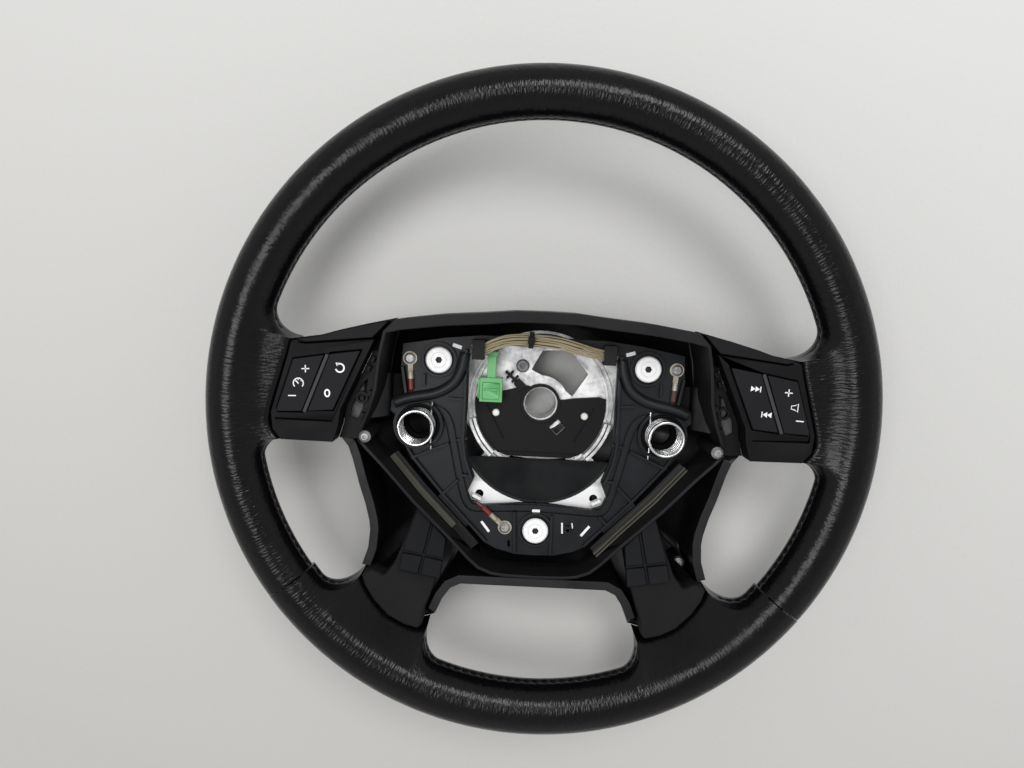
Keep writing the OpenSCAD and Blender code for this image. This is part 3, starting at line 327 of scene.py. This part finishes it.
def plastic(name, colour, roughness, grain=0.00004, cell=0.0006, edge=0.0003, wear=None, specular=0.5):
    """Moulded plastic: fine spark-eroded grain, slight mottling and rounded edges.

    grain is the relief's depth, cell its size and edge the radius of the edges, in metres; wear is the
    mottling's colour.
    """
    f = Finish(name, colour, roughness, specular=specular)
    f.round_edges(edge)
    f.bump(f.noise(f.at, 1 / cell, 2.0, 0.6), grain)
    mottle = f.noise(f.at, 45.0, 4.0, 0.6)
    f.tint(f.ramp(mottle, 0.35, 0.75), wear or tuple(min(1, c * 1.35 + 0.002) for c in colour[:3]) + (1.0,))
    f.rough(mottle, 0.3, 0.7, roughness - 0.05, roughness + 0.08)
    return f.mat


def metal(name, colour, roughness):
    """Bare metal with faint stains, which are rougher."""
    f = Finish(name, colour, roughness, metallic=1.0)
    stain = f.noise(f.at, 160.0, 5.0, 0.65)
    f.tint(f.ramp(stain, 0.42, 0.68), tuple(c * 0.62 for c in colour[:3]) + (1.0,))
    f.rough(stain, 0.3, 0.7, roughness, roughness + 0.18)
    return f.mat


def casting_finish():
    """Cast light alloy: stained round the hub, bright on the faces of the yoke's corner plates. Painted shade
    darkens the yoke below those faces, paints the lower and side spokes black and the side spokes' outer ends
    dark grey."""
    yoke = (-0.046, -0.05)              # from here downwards the yoke
    plate_top = (0.0275, 0.0288)        # and its plates' faces
    leg = (-0.066, -0.069)              # from here downwards the lower spokes
    spoke = (0.069, 0.071)              # from here outwards the side spokes
    spoke_end = (0.092, 0.094)
    f = Finish("cast_alloy", (0.8, 0.8, 0.8, 1), 0.6, metallic=1.0)
    f.round_edges(0.0005)
    f.bump(f.noise(f.at, 900.0, 4.0, 0.65), 0.0001)
    f.bump(f.noise(f.at, 120.0, 3.0, 0.5), 0.0004)
    stain = f.noise(f.at, 90.0, 5.0, 0.7)
    at = f.parts()
    out = f.math("ABSOLUTE", at["X"])
    plates = f.math("MULTIPLY", f.ramp(at["Y"], *yoke), f.ramp(at["Z"], *plate_top))
    f.tint(f.ramp(stain, 0.42, 0.7), (0.4, 0.4, 0.4, 1))
    # painted shade: the yoke dark below its plates' faces, in its holes and under the cover's edge
    f.tint(f.ramp(at["Y"], *yoke), (0.02, 0.02, 0.02, 1))
    f.tint(plates, (0.84, 0.84, 0.84, 1))
    # painted shade: the lower spokes and the side spokes black, the side spokes' outer ends dark grey
    f.tint(f.ramp(at["Y"], *leg), (0.012, 0.012, 0.013, 1))
    f.tint(f.ramp(out, *spoke), (0.015, 0.015, 0.016, 1))
    f.tint(f.ramp(out, *spoke_end), (0.13, 0.13, 0.135, 1))
    f.link(f.ramp(plates, 0.0, 1.0, 1.0, 0.2), f.shader.inputs["Metallic"])
    f.rough(stain, 0.3, 0.7, 0.58, 0.72)
    return f.mat


def disc_finish():
    """Dull bright plating on the contact discs' faces; painted shade makes them dark below the faces, down in
    their hexagon sockets and on their sides.
    """
    # the dark base colour is painted shade; the plating's bright colour is laid only on the faces
    f = Finish("contact_plating", (0.03, 0.03, 0.03, 1), 0.6, metallic=0.3)
    f.tint(f.ramp(f.parts()["Z"], DISC_Z - 0.0012, DISC_Z - 0.0006), (0.8, 0.8, 0.8, 1))
    f.rough(f.noise(f.at, 160.0, 5.0, 0.65), 0.3, 0.7, 0.5, 0.75)
    return f.mat


def leather_finish():
    """Black smooth leather: short creases across the tube, pebble grain and soft waves."""
    f = Finish("leather", linear(5, 5, 7), 0.2, specular=0.2, uv=True)
    waves, creases, fine = (f.noise(f.stretched(*size), 1.0, 1.0, 0.5)
                            for size in ((80.0, 60.0), (720.0, 190.0), (1700.0, 900.0)))
    f.bump(waves, 0.0004)
    f.bump(creases, 0.00026)
    f.bump(f.cells(f.stretched(900.0, 500.0)), 0.00006)
    f.bump(fine, 0.00004)
    f.tint(f.ramp(creases, 0.35, 0.7), linear(9, 9, 11))
    f.rough(waves, 0.3, 0.7, 0.18, 0.27)
    return f.mat


def shell_finish():
    """Grained black plastic with a painted highlight, in blotches, on the lips along the openings, which lie
    in one sloping plane.
    """
    f = Finish("shell_plastic", linear(13, 13, 15), 0.36, specular=0.3)
    f.round_edges(0.0006)
    f.bump(f.noise(f.at, 1300.0, 2.0, 0.6), 0.00003)
    f.bump(f.noise(f.at, 60.0, 2.0, 0.5), 0.0004)
    at = f.parts()
    height = f.math("MULTIPLY_ADD", at["Y"], -LIP_RISE, at["Z"])
    smudges_and_sheen = f.noise(f.at, 70.0, 4.0, 0.6)
    # painted highlight on the lips above the sloping plane, broken into blotches by the noise that also
    # varies the roughness
    lip = f.math("MULTIPLY", f.ramp(height, 0.0525, 0.0548), f.ramp(smudges_and_sheen, 0.2, 0.6, 0.5, 1.0))
    f.tint(lip, linear(25, 25, 27))
    f.rough(smudges_and_sheen, 0.3, 0.7, 0.3, 0.48)
    return f.mat


def pod_finish():
    """Black satin plastic; the rib that stands above the faces is paler."""
    f = Finish("pod_plastic", linear(11, 11, 13), 0.55, specular=0.12)
    f.round_edges(0.0004)
    f.bump(f.noise(f.at, 1800.0, 2.0, 0.6), 0.00004)
    # paler above 70.5 mm, on the rib that stands above the faces
    f.tint(f.ramp(f.parts()["Z"], 0.0705, 0.0716), linear(60, 60, 63))
    f.rough(f.noise(f.at, 45.0, 4.0, 0.6), 0.3, 0.7, 0.5, 0.63)
    return f.mat


MATERIALS = {
    "casting": casting_finish(),
    "leather": leather_finish(),
    "shell_plastic": shell_finish(),
    "frame_plastic": plastic("frame_plastic", linear(20, 20, 22), 0.45, 0.00003, 0.0007, 0.0006,
                             specular=0.2),
    "leg_foam": plastic("spoke_foam", linear(22, 22, 22), 0.7, 0.00012, 0.0012, 0.0012, specular=0.1),
    "pad_plastic": plastic("spoke_pad_plastic", linear(11, 12, 15), 0.6, 0.00005, 0.0007, 0.0005,
                           specular=0.13),
    "felt": plastic("felt_strip", linear(74, 72, 66), 0.95, 0.00025, 0.0004, 0.0004, specular=0.1),
    "carrier_plastic": plastic("carrier_plastic", linear(12, 15, 18), 0.42, 0.00006, 0.0009, 0.0004,
                               linear(24, 28, 33), specular=0.22),
    "channel_plastic": plastic("channel_plastic", linear(22, 25, 28), 0.45, 0.00004, 0.0006, 0.0003,
                               specular=0.25),
    "black_plastic": plastic("black_plastic", linear(9, 9, 10), 0.5, 0.00004, 0.0006, 0.0003, specular=0.15),
    "white_plastic": plastic("white_plastic", linear(216, 216, 210), 0.4, 0.00002, 0.0006, 0.0003),
    "green_plastic": plastic("connector_green", linear(82, 158, 92), 0.38, 0.00003, 0.0006, 0.0004,
                             linear(104, 178, 114)),
    "loom_grey": plastic("loom_grey", linear(20, 20, 21), 0.6, 0.0001, 0.0008, 0.0003, specular=0.2),
    "pod_plastic": pod_finish(),
    "key_plastic": plastic("key_plastic", linear(18, 18, 22), 0.6, 0.00003, 0.0005, 0.0004, specular=0.15),
    "tan_wire": plastic("wire_insulation", linear(146, 134, 104), 0.5, 0.00003, 0.0008, 0.0002,
                        linear(168, 157, 127)),
    "red_sleeve": plastic("shrink_sleeve", linear(92, 22, 20), 0.45, 0.00004, 0.0008, 0.0002),
    "screw_steel": metal("screw_zinc", (0.42, 0.42, 0.42, 1), 0.5),
    "contact_steel": disc_finish(),
    "spring_steel": metal("spring_wire", (0.75, 0.75, 0.75, 1), 0.16),
    "terminal_brass": metal("terminal_tin", (0.55, 0.5, 0.42, 1), 0.6),
}
slot_of = {s["node"]: s["material_slot"] for s in frame["record"]["subparts"]}
body_of = {n: b for b, members in frame["record"]["behaviour"]["bodies"].items() for n in members}
# Nodes that look unlike the rest of their slot
OWN = {
    "hub_screw": metal("hub_screw_steel", (0.16, 0.16, 0.17, 1), 0.5),
    "hub_bowl": plastic("bowl_plastic", linear(17, 19, 21), 0.55, 0.00006, 0.0008, 0.0003, linear(32, 33, 33),
                        specular=0.25),
    "spring_cup_left": plastic("cup_plastic", linear(8, 8, 9), 0.6, 0.00004, 0.0006, 0.0003, specular=0.1),
    "lead_right": plastic("lead_sleeve_brown", linear(64, 42, 30), 0.5, 0.00004, 0.0008, 0.0002),
}
OWN["spring_cup_right"] = OWN["spring_cup_left"]
for name, node in frame["nodes"].items():
    node.data.materials.clear()
    node.data.materials.append(OWN.get(name) or MATERIALS[slot_of[name]])


# Sizes that the CAD part and these pieces share, in millimetres
RIM_R = 192.5             # outer radius of the rim
RIM_Z = 62.0              # height of its middle plane
UPPER_R, LOWER_R = 14.8, 15.6
SEAM = 36.5               # degrees of the grip's seams below the horizontal
SEAM_GAP = 0.8
POD_Z = 70.0              # height of the pods' faces
SPRING_AT = (73.5, -13.7)
# Where the leather meets a pod and a lower spoke, right-hand side
POD_EDGE = np.array([[142.5, 36.4], [144.6, 27], [153.6, -5.5], [152.6, -15], [147.8, -20.9]])
LEG_EDGE = np.array([[104, -102.7], [101.5, -109.7], [95.7, -118.3], [86.7, -127.5], [76.7, -133.1],
                     [68, -135.7], [60.4, -133.7]])


# Leather grip

# Degrees at which a spoke starts and ends, and those its fillets take before and after
SIDE = (-8.0, 14.3, 3.8, 5.9)
LEG = (-65.0, -45.0, 5.6, 5.8)
LEAVE, FALL = 30.0, 8.0   # degrees at which a hollow face leaves the crest, and falls on to the pod
AROUND = 112              # points round a section
PITCH = 5.3               # length of a stitch


def quarter(t):
    """A quarter of a circle: 0 and level at t = 0, 1 and upright at t = 1."""
    return 1 - np.sqrt(1 - np.clip(t, 0, 1) ** 2)


def flare(a, spoke):
    """0 on the plain rim and 1 between the two angles of a spoke, with a fillet before and after."""
    lo, hi, before, after = spoke
    return quarter((a - lo + before) / before) * quarter((hi + after - a) / after)


def sections(start, end, n, spoke):
    """Angles of the grip's sections, close together where a fillet ends upright."""
    lo, hi, before, after = spoke
    near = 1 - np.sin(np.linspace(0, np.pi / 2, 36))
    turns = np.concatenate([lo - before * near, hi + after * near])
    mirror = (180.0 if start > -90 else -180.0) - turns
    a = np.concatenate([np.linspace(start, end, n), turns, mirror])
    a = np.unique(np.round(a[(a >= start) & (a <= end)], 4))
    return a[np.r_[True, np.diff(a) > 0.002]]


def chain_radius(points, degrees):
    """Distance from the axis to a chain of points in each direction, held beyond its ends."""
    a = np.degrees(np.arctan2(points[:, 1], points[:, 0]))
    order = np.argsort(a)
    p = smooth_line(points[order], 12)
    pa = np.degrees(np.arctan2(p[:, 1], p[:, 0]))
    pr = np.hypot(p[:, 0], p[:, 1])
    order = np.argsort(pa)
    return np.interp(degrees, pa[order], pr[order])


def along(knots, points, q):
    """Points of one chain per ring, straight between the knots, at the shares q of its length."""
    k = np.clip(np.searchsorted(knots, q, side="right") - 1, 0, len(knots) - 2)
    t = ((q - knots[k]) / (knots[k + 1] - knots[k]))[None, :, None]
    return points[:, k] * (1 - t) + points[:, k + 1] * t


def bezier(a, b, c, n=7):
    """n points of the quadratic curve from each a to each c, pulled towards b."""
    t = np.linspace(0, 1, n)[None, :, None]
    return (1 - t) ** 2 * a[:, None] + 2 * t * (1 - t) * b[:, None] + t ** 2 * c[:, None]


def grip(angles, R, r, f, inner, top, low, hollow):
    """Sections of the grip at the given angles, round a tube's axis of radius R.

    On the plain rim a section is a circle of radius r. On a spoke its inner half is the arc over the
    crest, a face that comes down to the height top at the radius inner, a rounded corner, a wall down to
    the height low and a straight back to the foot. A hollow face leaves the arc at the tilt LEAVE and
    bends into a flat that falls by FALL; another face is the straight that touches the arc. A point is
    the circle's plus f times the way from there to the spoke's.
    """
    th = np.linspace(0, 2 * np.pi, 720, endpoint=False)
    circle = np.stack([r * np.cos(th), r * np.sin(th)], -1)
    plain = np.broadcast_to(circle, (len(angles), len(th), 2))
    spoke = plain.copy()
    wide = R - inner
    m = len(wide)
    corner = np.stack([-wide, np.full(m, float(top))], -1)
    touch = np.arctan2(wide, top) - np.arccos(r / np.hypot(wide, top))
    last = np.full(m, math.radians(LEAVE)) if hollow else touch
    tilt = last[:, None] * np.linspace(0, 1, 7)[None]
    crest = np.stack([-r * np.sin(tilt), r * np.cos(tilt)], -1)
    start = crest[:, -1]
    if hollow:
        steep, gentle = math.tan(math.radians(LEAVE)), math.tan(math.radians(FALL))
        x = (top + gentle * wide - start[:, 1] + steep * start[:, 0]) / (steep - gentle)
        dip = np.stack([x, top + gentle * (x + wide)], -1)
    else:
        dip = (start + corner) / 2
    onward = (corner - dip) / np.linalg.norm(corner - dip, axis=1)[:, None]
    soft = 3.0
    reach = np.minimum(np.linalg.norm(dip - start, axis=1), np.linalg.norm(corner - dip, axis=1) - soft - 0.2)
    face = bezier(start, dip, dip + onward * reach[:, None])
    turn = bezier(corner - soft * onward, corner, corner + [0, -soft])
    mid = np.stack([-wide, np.full(m, (top + low) / 2)], -1)[:, None]
    # Shares of a quarter turn that the crest, the face, the corner and the wall's upper half take
    knots = np.r_[np.linspace(0, 0.25, 7), np.linspace(0.29, 0.6, 7), np.linspace(0.86, 0.94, 7), 1.0]
    over = (th >= np.pi / 2) & (th <= np.pi)
    chain = np.concatenate([crest, face, turn, mid], 1)
    spoke[:, over] = along(knots, chain, (th[over] - np.pi / 2) / (np.pi / 2))
    foot = np.stack([-wide, np.full(m, float(low))], -1)[:, None]
    end = np.broadcast_to(np.array([[[0.0, -r]]]), foot.shape)
    under = (th > np.pi) & (th <= 1.5 * np.pi)
    chain = np.concatenate([mid, foot + [0, 2], foot + [2, 0], end], 1)
    knots = np.array([0, 0.3, 0.36, 1.0])  # the wall's lower half, the foot's corner and the straight back
    spoke[:, under] = along(knots, chain, (th[under] - np.pi) / (np.pi / 2))
    shape = plain + f[:, None, None] * (spoke - plain)
    a = np.radians(angles)[:, None]
    far = R + shape[..., 0]
    return np.stack([far * np.cos(a), far * np.sin(a), RIM_Z + shape[..., 1]], -1)


def edge_line(angles, R, r, f, inner, top, low):
    """The innermost point of each section."""
    far = R - r - f * (R - r - inner)
    a = np.radians(angles)
    return np.c_[far * np.cos(a), far * np.sin(a), RIM_Z + f * (top + low) / 2]


def travelled(line):
    """Length of a line up to each of its points."""
    return np.r_[0, np.cumsum(np.linalg.norm(np.diff(line, axis=0), axis=1))]


def stitched(rings, line, f):
    """Pulls the leather in along the seam: a groove with a dimple at each stitch.

    A point near the seam's height moves outwards by the depth times the bell curve of its distance from
    the seam, and by a cosine over the length travelled, half of it between two stitches.
    """
    depth, width, reach = 0.9, 2.0, 8.0
    radius = np.hypot(rings[..., 0], rings[..., 1])
    away = np.abs(rings[..., 2] - line[:, None, 2])
    inner = radius < radius.min(1, keepdims=True) + reach
    pull = np.exp(-(away / width) ** 2) * inner * (1 - f[:, None] ** 2)
    dimple = 0.5 + 0.5 * np.cos(2 * np.pi * travelled(line)[:, None] / PITCH)
    move = pull * depth * (0.5 + 0.5 * dimple)
    out = rings.copy()
    out[..., :2] *= (1 + move / radius)[..., None]
    return out


def leather(name, angles, R, r, f, inner, top, low, hollow, stands_for):
    """One section of the grip with its seam, and turned-in edges at its two ends."""
    line = edge_line(angles, R, r, f, inner, top, low)
    rings = spread(grip(angles, R, r, f, inner, top, low, hollow), AROUND)
    rings = stitched(rings, line, f)
    middle = rings.mean(1, keepdims=True)
    inward = np.array([0.94, 0.985])[:, None, None]
    first = middle[0] + (rings[0] - middle[0]) * inward
    last = middle[-1] + (rings[-1] - middle[-1]) * inward[::-1]
    u = 2 + np.radians(angles - angles[0]) * R
    u = np.concatenate([[0, 1], u, u[-1] + [1, 2, 3]])
    v = np.linspace(0, 2 * np.pi * r, AROUND + 1)
    body = Body().add(np.concatenate([first, rings, last]), uv=(u, v), flip=True)
    body.build(name, MATERIALS["leather"], "leather", "root", stands_for)
    thread(name + "_thread", line, f)


def thread(name, line, f):
    """Black thread zigzagging across the seam on the grip's inner side, two crossings to a stitch."""
    half, proud, radius = 1.3, 0.55, 0.34
    body = Body()
    shown = np.flatnonzero(f < 0.6)
    cut = np.flatnonzero(np.diff(shown) > 1)
    for lo, hi in zip(shown[np.r_[0, cut + 1]], shown[np.r_[cut, len(shown) - 1]]):
        part = line[lo:hi + 1]
        run = travelled(part)
        at = np.arange(PITCH / 2, run[-1], PITCH / 2)
        path = np.stack([np.interp(at, run, part[:, k]) for k in range(3)], -1)
        path[:, :2] *= 1 + proud / np.hypot(path[:, 0], path[:, 1])[:, None]
        path[:, 2] += np.where(np.arange(len(at)) % 2, half, -half)
        body.add(tube(smooth_line(path, 3), radius, 6))
    fibre = plastic(name, linear(12, 12, 13), 0.7, 0.00002, 0.0004, 0.0001, specular=0.2)
    body.build(name, fibre, "leather")


def both_leathers():
    """The two sections of the grip, each mirrored about twelve or six o'clock."""
    half = math.degrees(SEAM_GAP / 2 / RIM_R)
    a = sections(half - SEAM, 180 + SEAM - half, 690, SIDE)
    b = np.where(a > 90, 180 - a, a)
    leather("leather_upper", a, RIM_R - UPPER_R, UPPER_R, flare(b, SIDE), chain_radius(POD_EDGE, b) + 0.3,
            POD_Z - RIM_Z - 0.5, -21, True, ("rim_grip_upper",))
    a = sections(SEAM - 180 + half, -SEAM - half, 640, LEG)
    b = np.where(a < -90, -180 - a, a)
    leather("leather_lower", a, RIM_R - LOWER_R, LOWER_R, flare(b, LEG), chain_radius(LEG_EDGE, b) - 1.0,
            -5, -27, False, ("rim_grip_lower",))


# Copies of CAD nodes

def merged(node):
    """The mesh of a CAD node in a new bmesh, its points merged."""
    bm = bmesh.new()
    bm.from_mesh(frame["nodes"][node].data)
    bmesh.ops.remove_doubles(bm, verts=bm.verts, dist=2e-6)
    return bm


def stand_in(node, ending, bm):
    """Turns a bmesh into the piece that stands for its CAD node, shaded smooth between sharp edges."""
    mesh = bpy.data.meshes.new(node + ending)
    bm.to_mesh(mesh)
    bm.free()
    mesh.shade_smooth()
    mesh.set_sharp_from_angle(angle=SHARP)
    material = frame["nodes"][node].data.materials[0]
    return place(node + ending, mesh, material, body_of[node], (node,))


def softened(node, width):
    """A copy of a CAD node whose longer sharp edges are rounded over by width."""
    flat, sharp, shortest = math.radians(0.6), math.radians(30), 2.5 * MM
    bm = merged(node)
    bmesh.ops.dissolve_limit(bm, angle_limit=flat, verts=bm.verts, edges=bm.edges)
    weight = bm.edges.layers.float.new("bevel_weight_edge")
    for e in bm.edges:
        if len(e.link_faces) == 2 and e.calc_face_angle(0) > sharp and e.calc_length() > shortest:
            e[weight] = 1.0
    bevel = stand_in(node, "_soft", bm).modifiers.new("edges", "BEVEL")
    bevel.limit_method = "WEIGHT"
    bevel.width = width * MM
    bevel.segments = 2
    bevel.use_clamp_overlap = False
    bevel.harden_normals = True


both_leathers()
ROUNDED = {"pod_left": 0.5, "pod_right": 0.5, "key_speed": 0.45, "key_resume": 0.45, "key_skip": 0.45,
           "key_volume": 0.45, "bar_key_left": 0.6, "trim_strip_right": 0.6, "bay_frame": 0.5,
           "spoke_pad_left": 0.5, "spoke_pad_right": 0.5, "spoke_foam_left": 1.4, "spoke_foam_right": 1.4,
           "bag_connector": 0.3}
for node, width in ROUNDED.items():
    softened(node, width)
for node in ("back_cover", "hub_bowl", "spring_cup_left", "spring_cup_right", "cable_cover_left",
             "cable_cover_right"):
    stand_in(node, "_smooth", merged(node))


# Signs on the keys

def stroke(body, path, width, z0, z1, closed=False):
    """A line of the given width along a flat path, as a thin plate between two heights."""
    path = np.asarray(path, float)
    if closed:
        d = np.roll(path, -1, 0) - np.roll(path, 1, 0)
    else:
        d = np.gradient(path, axis=0)
    d /= np.linalg.norm(d, axis=1)[:, None]
    side = np.c_[-d[:, 1], d[:, 0]] * width / 2
    corners = ((-1, z0), (1, z0), (1, z1), (-1, z1))
    rings = np.stack([np.c_[path + way * side, np.full(len(path), z)] for way, z in corners], 1)
    body.add(rings, along=closed)


def arc(radius, start, end, n=40, squeeze=1.0):
    """Points of a circle's arc between two angles in degrees, its width squeezed."""
    a = np.radians(np.linspace(start, end, n))
    return np.c_[radius * np.cos(a) * squeeze, radius * np.sin(a)]


def signs():
    """Generic signs printed on the rocker keys: plus, minus, gauge, turn back, zero, skip, loudspeaker."""
    top, sunk, proud = POD_Z + 1.4, 0.05, 0.06
    lean = math.radians(2.6)
    ink = plastic("key_print", linear(214, 214, 212), 0.5, 0.00001, 0.0004, 0.00005)

    def sign(name, key, at, *draw):
        """Strokes, or filled outlines where the width is 0, turned with the key and moved to their place."""
        turn = lean if at[0] < 0 else -lean
        c, s = math.cos(turn), math.sin(turn)
        body = Body()
        for path, width, closed in draw:
            path = np.asarray(path, float) @ np.array([[c, s], [-s, c]]) + np.array(at)
            if width:
                stroke(body, path, width, top - sunk, top + proud, closed)
            else:
                body.prism(path, top - sunk, top + proud)
        body.build(name, ink, slot_of[key], body_of[key])

    minus = ([[-2.2, 0], [0, 0], [2.2, 0]], 0.62, False)
    plus = ([[0, -2.05], [0, 0], [0, 2.05]], 0.62, False)
    sign("sign_plus_speed", "key_speed", (-133.9, 20.0), minus, plus)
    sign("sign_minus_speed", "key_speed", (-141.1, 4.5), minus)
    sign("sign_gauge", "key_speed", (-137.7, 11.7), (arc(2.8, -42, 222), 0.62, False),
         ([[-1.9, 1.9], [-0.9, 0.9], [0.1, -0.3]], 0.7, False), ([[0, 2.6], [0, 2.1], [0, 1.7]], 0.5, False),
         ([[2.1, 1.6], [1.7, 1.3], [1.4, 1.1]], 0.5, False))
    sign("sign_turn_back", "key_resume", (-114.6, 21.3), (arc(2.35, -165, 125), 0.85, False),
         ([[-2.3, 2.9], [-0.4, 2.9], [-1.6, 0.9]], 0, False))
    sign("sign_zero", "key_resume", (-121.4, 6.8), (arc(1.9, 0, 360, 41, 0.68)[:-1], 0.85, True))
    right = [[-1.6, -1.6], [0.9, 0], [-1.6, 1.6]]

    def shifted(points, dx, way):
        """Points moved sideways, or the mirror image of that for the way back."""
        q = (np.array(points, float) + [dx, 0]) * [way, 1]
        return q[::way]

    for name, at, way in (("sign_skip_on", (118.2, 20.2), 1), ("sign_skip_back", (124.6, 6.0), -1)):
        sign(name, "key_skip", at, (shifted(right, -1.5, way), 0, False),
             (shifted(right, 1.0, way), 0, False),
             (shifted([[2.3, -1.6], [2.3, 0], [2.3, 1.6]], 0, way), 0.6, False))
    sign("sign_plus_volume", "key_volume", (136.3, 18.9), minus, plus)
    sign("sign_minus_volume", "key_volume", (143.7, 3.2), minus)
    sign("sign_speaker", "key_volume", (140.4, 10.7),
         ([[-2, -0.9], [-2, 0.9], [0, 1.2], [1.7, 2.4], [1.7, -2.4], [0, -1.2]], 0.5, True))


signs()


# Wires, springs and sleeves

RIBBON = [[-42.8, 32.6, 42.2], [-39, 33.2, 42.9], [-34.6, 34.4, 44.2], [-29, 37.2, 46.4], [-21, 39.8, 48.3],
          [-8, 40.6, 49.4], [8, 39.4, 49.2], [20, 36.6, 47.6], [28.5, 34.4, 45.2], [35, 33.3, 43.6],
          [42.8, 32.4, 42.4]]


def wire_ribbon():
    """Seven insulated wires side by side; each wanders a little from its place in the ribbon.

    The way off the ribbon's line is a sine sideways, with a length and a phase of each wire's own, and
    one upwards that dies away at both ends.
    """
    line = smooth_line(RIBBON, 10)
    _, side, up = frames(line)
    t = np.linspace(0, 1, len(line))
    body = Body()
    for k in range(7):
        off = (k - 3) * 0.98 + 0.22 * np.sin(2 * np.pi * (t * (1.3 + 0.17 * k) + 0.31 * k))
        lift = 0.28 * np.sin(2 * np.pi * (t * (1.9 - 0.11 * k) + 0.43 * k)) * np.sin(np.pi * t)
        body.add(tube(line + side * off[:, None] + up * lift[:, None], 0.5, 10))
    body.build("ribbon_wires", MATERIALS["tan_wire"], "tan_wire", "root", ("loom_ribbon",))


def coil_spring(name, at, node):
    """Round wire on a helix: the rise is straight over a closed turn, the free turns and a closed turn."""
    free, rise, end, radius, wire, foot = 4.5, 20.2, 1.98, 10.1, 0.9, 34.95
    t = np.linspace(0, free + 2, 520)
    z = np.interp(t, [0, 1, free + 1, free + 2], [0, end, rise - end, rise])
    line = np.c_[at[0] + radius * np.cos(2 * np.pi * t), at[1] + radius * np.sin(2 * np.pi * t), foot + z]
    Body().add(tube(line, wire, 14)).build(name, MATERIALS["spring_steel"], "spring_steel", "root", (node,))


wire_ribbon()
coil_spring("spring_coil_left", (-SPRING_AT[0], SPRING_AT[1]), "horn_spring_left")
coil_spring("spring_coil_right", SPRING_AT, "horn_spring_right")


def slot_clips():
    """Bright ends of the metal clips that stand in the carrier plate's slots."""
    low, high = 34.3, 37.4
    body = Body()
    for ends, wide in (([[49.4, 33.5], [54.8, 35.1]], 2.2), ([[-54.8, 35.1], [-49.4, 33.5]], 2.2),
                       ([[33.2, -72.6], [28.2, -78.9]], 1.6), ([[-28.2, -78.9], [-33.2, -72.6]], 1.6),
                       ([[-2.4, -64.4], [2.4, -64.4]], 1.8), ([[16.3, -71.2], [16.7, -78.1]], 1.1),
                       ([[22.4, -71.1], [22.9, -74.4]], 0.8)):
        a, b = np.array(ends, float)
        d = (b - a) / np.linalg.norm(b - a)
        side = np.array([-d[1], d[0]]) * wide / 2
        body.prism([a - side, b - side, b + side, a + side], low, high)
    plating = plastic("clip_plating", linear(232, 233, 232), 0.5, 0.00001, 0.0005, 0.0001)
    body.build("slot_clips", plating, "contact_steel")


slot_clips()
# Black plates that paint shade into the gap behind the joint of each pod and the bay frame
for side, way in (("left", -1), ("right", 1)):
    shade_plate = np.array([[93, 29], [103, 29], [103, 42], [93, 42]], float) * [way, 1]
    Body().prism(shade_plate[::way], 44, 49).build("gap_shade_" + side, MATERIALS["black_plastic"], "black_plastic")


# Stage, light and camera

def stage():
    """Pale floor under the wheel's collar, a pale room, a lamp overhead and a window beyond the rim."""
    low, half = cad_box[0][2], 2.5
    mesh = bpy.data.meshes.new("floor")
    mesh.from_pydata([(-half, -half, low), (half, -half, low), (half, half, low), (-half, half, low)], [],
                     [(0, 1, 2, 3)])
    floor = bpy.data.objects.new("floor", mesh)
    bpy.context.scene.collection.objects.link(floor)
    f = Finish("floor_paint", (0.475, 0.466, 0.451, 1), 0.8, specular=0.1)
    at = f.parts()
    across = f.math("MULTIPLY_ADD", at["X"], 0.35, at["Y"])  # painted shade: darker to the lower left
    f.tint(f.ramp(across, -0.365, 0.42), (0.645, 0.645, 0.631, 1))
    f.bump(f.noise(f.at, 260.0, 3.0, 0.6), 0.0003)
    mesh.materials.append(f.mat)

    world = bpy.data.worlds.new("room")
    bpy.context.scene.world = world
    world.use_nodes = True
    nodes, links = world.node_tree.nodes, world.node_tree.links
    away = nodes.new("ShaderNodeTexCoord")
    parts = nodes.new("ShaderNodeSeparateXYZ")
    links.new(away.outputs["Object"], parts.inputs[0])
    band = nodes.new("ShaderNodeValToRGB")
    heights = band.color_ramp.elements  # brightest half-way up
    heights[0].color = (0.54, 0.54, 0.54, 1)
    heights[1].color = (0.5, 0.5, 0.51, 1)
    heights.new(0.45).color = (0.74, 0.74, 0.74, 1)
    links.new(parts.outputs["Z"], band.inputs[0])
    links.new(band.outputs[0], nodes["Background"].inputs["Color"])
    nodes["Background"].inputs["Strength"].default_value = 1.0

    def lamp(name, at, size, power):
        """Round area lamp aimed at the origin."""
        data = bpy.data.lights.new(name, "AREA")
        data.shape = "DISK"
        data.size = size
        data.energy = power
        obj = bpy.data.objects.new(name, data)
        bpy.context.scene.collection.objects.link(obj)
        obj.location = at
        obj.rotation_euler = (-Vector(at)).to_track_quat("-Z", "Y").to_euler()

    lamp("ceiling", (-0.6, 0.05, 2.0), 0.95, 16.0)
    lamp("window", (0.3, 0.9, 1.76), 0.7, 14.0)


def camera():
    """The photograph's viewpoint, fitted to the rim's outline."""
    data = bpy.data.cameras.new("camera")
    data.sensor_width = 36.0
    data.lens = 27.355
    data.clip_start = 0.01
    cam = bpy.data.objects.new("camera", data)
    bpy.context.scene.collection.objects.link(cam)
    right = Vector((0.99891946, 0.04556025, -0.00917425))
    down = Vector((0.04628184, -0.9931659, 0.10714238))
    ahead = Vector((-0.00423012, -0.10745121, -0.99420136))
    turn = Matrix((right, -down, -ahead)).transposed().to_4x4()
    cam.matrix_world = Matrix.Translation((-0.016288, 0.063436, 0.441591 + RIM_Z * MM)) @ turn
    bpy.context.scene.camera = cam


stage()
camera()
bpy.context.scene.view_settings.view_transform = "Standard"
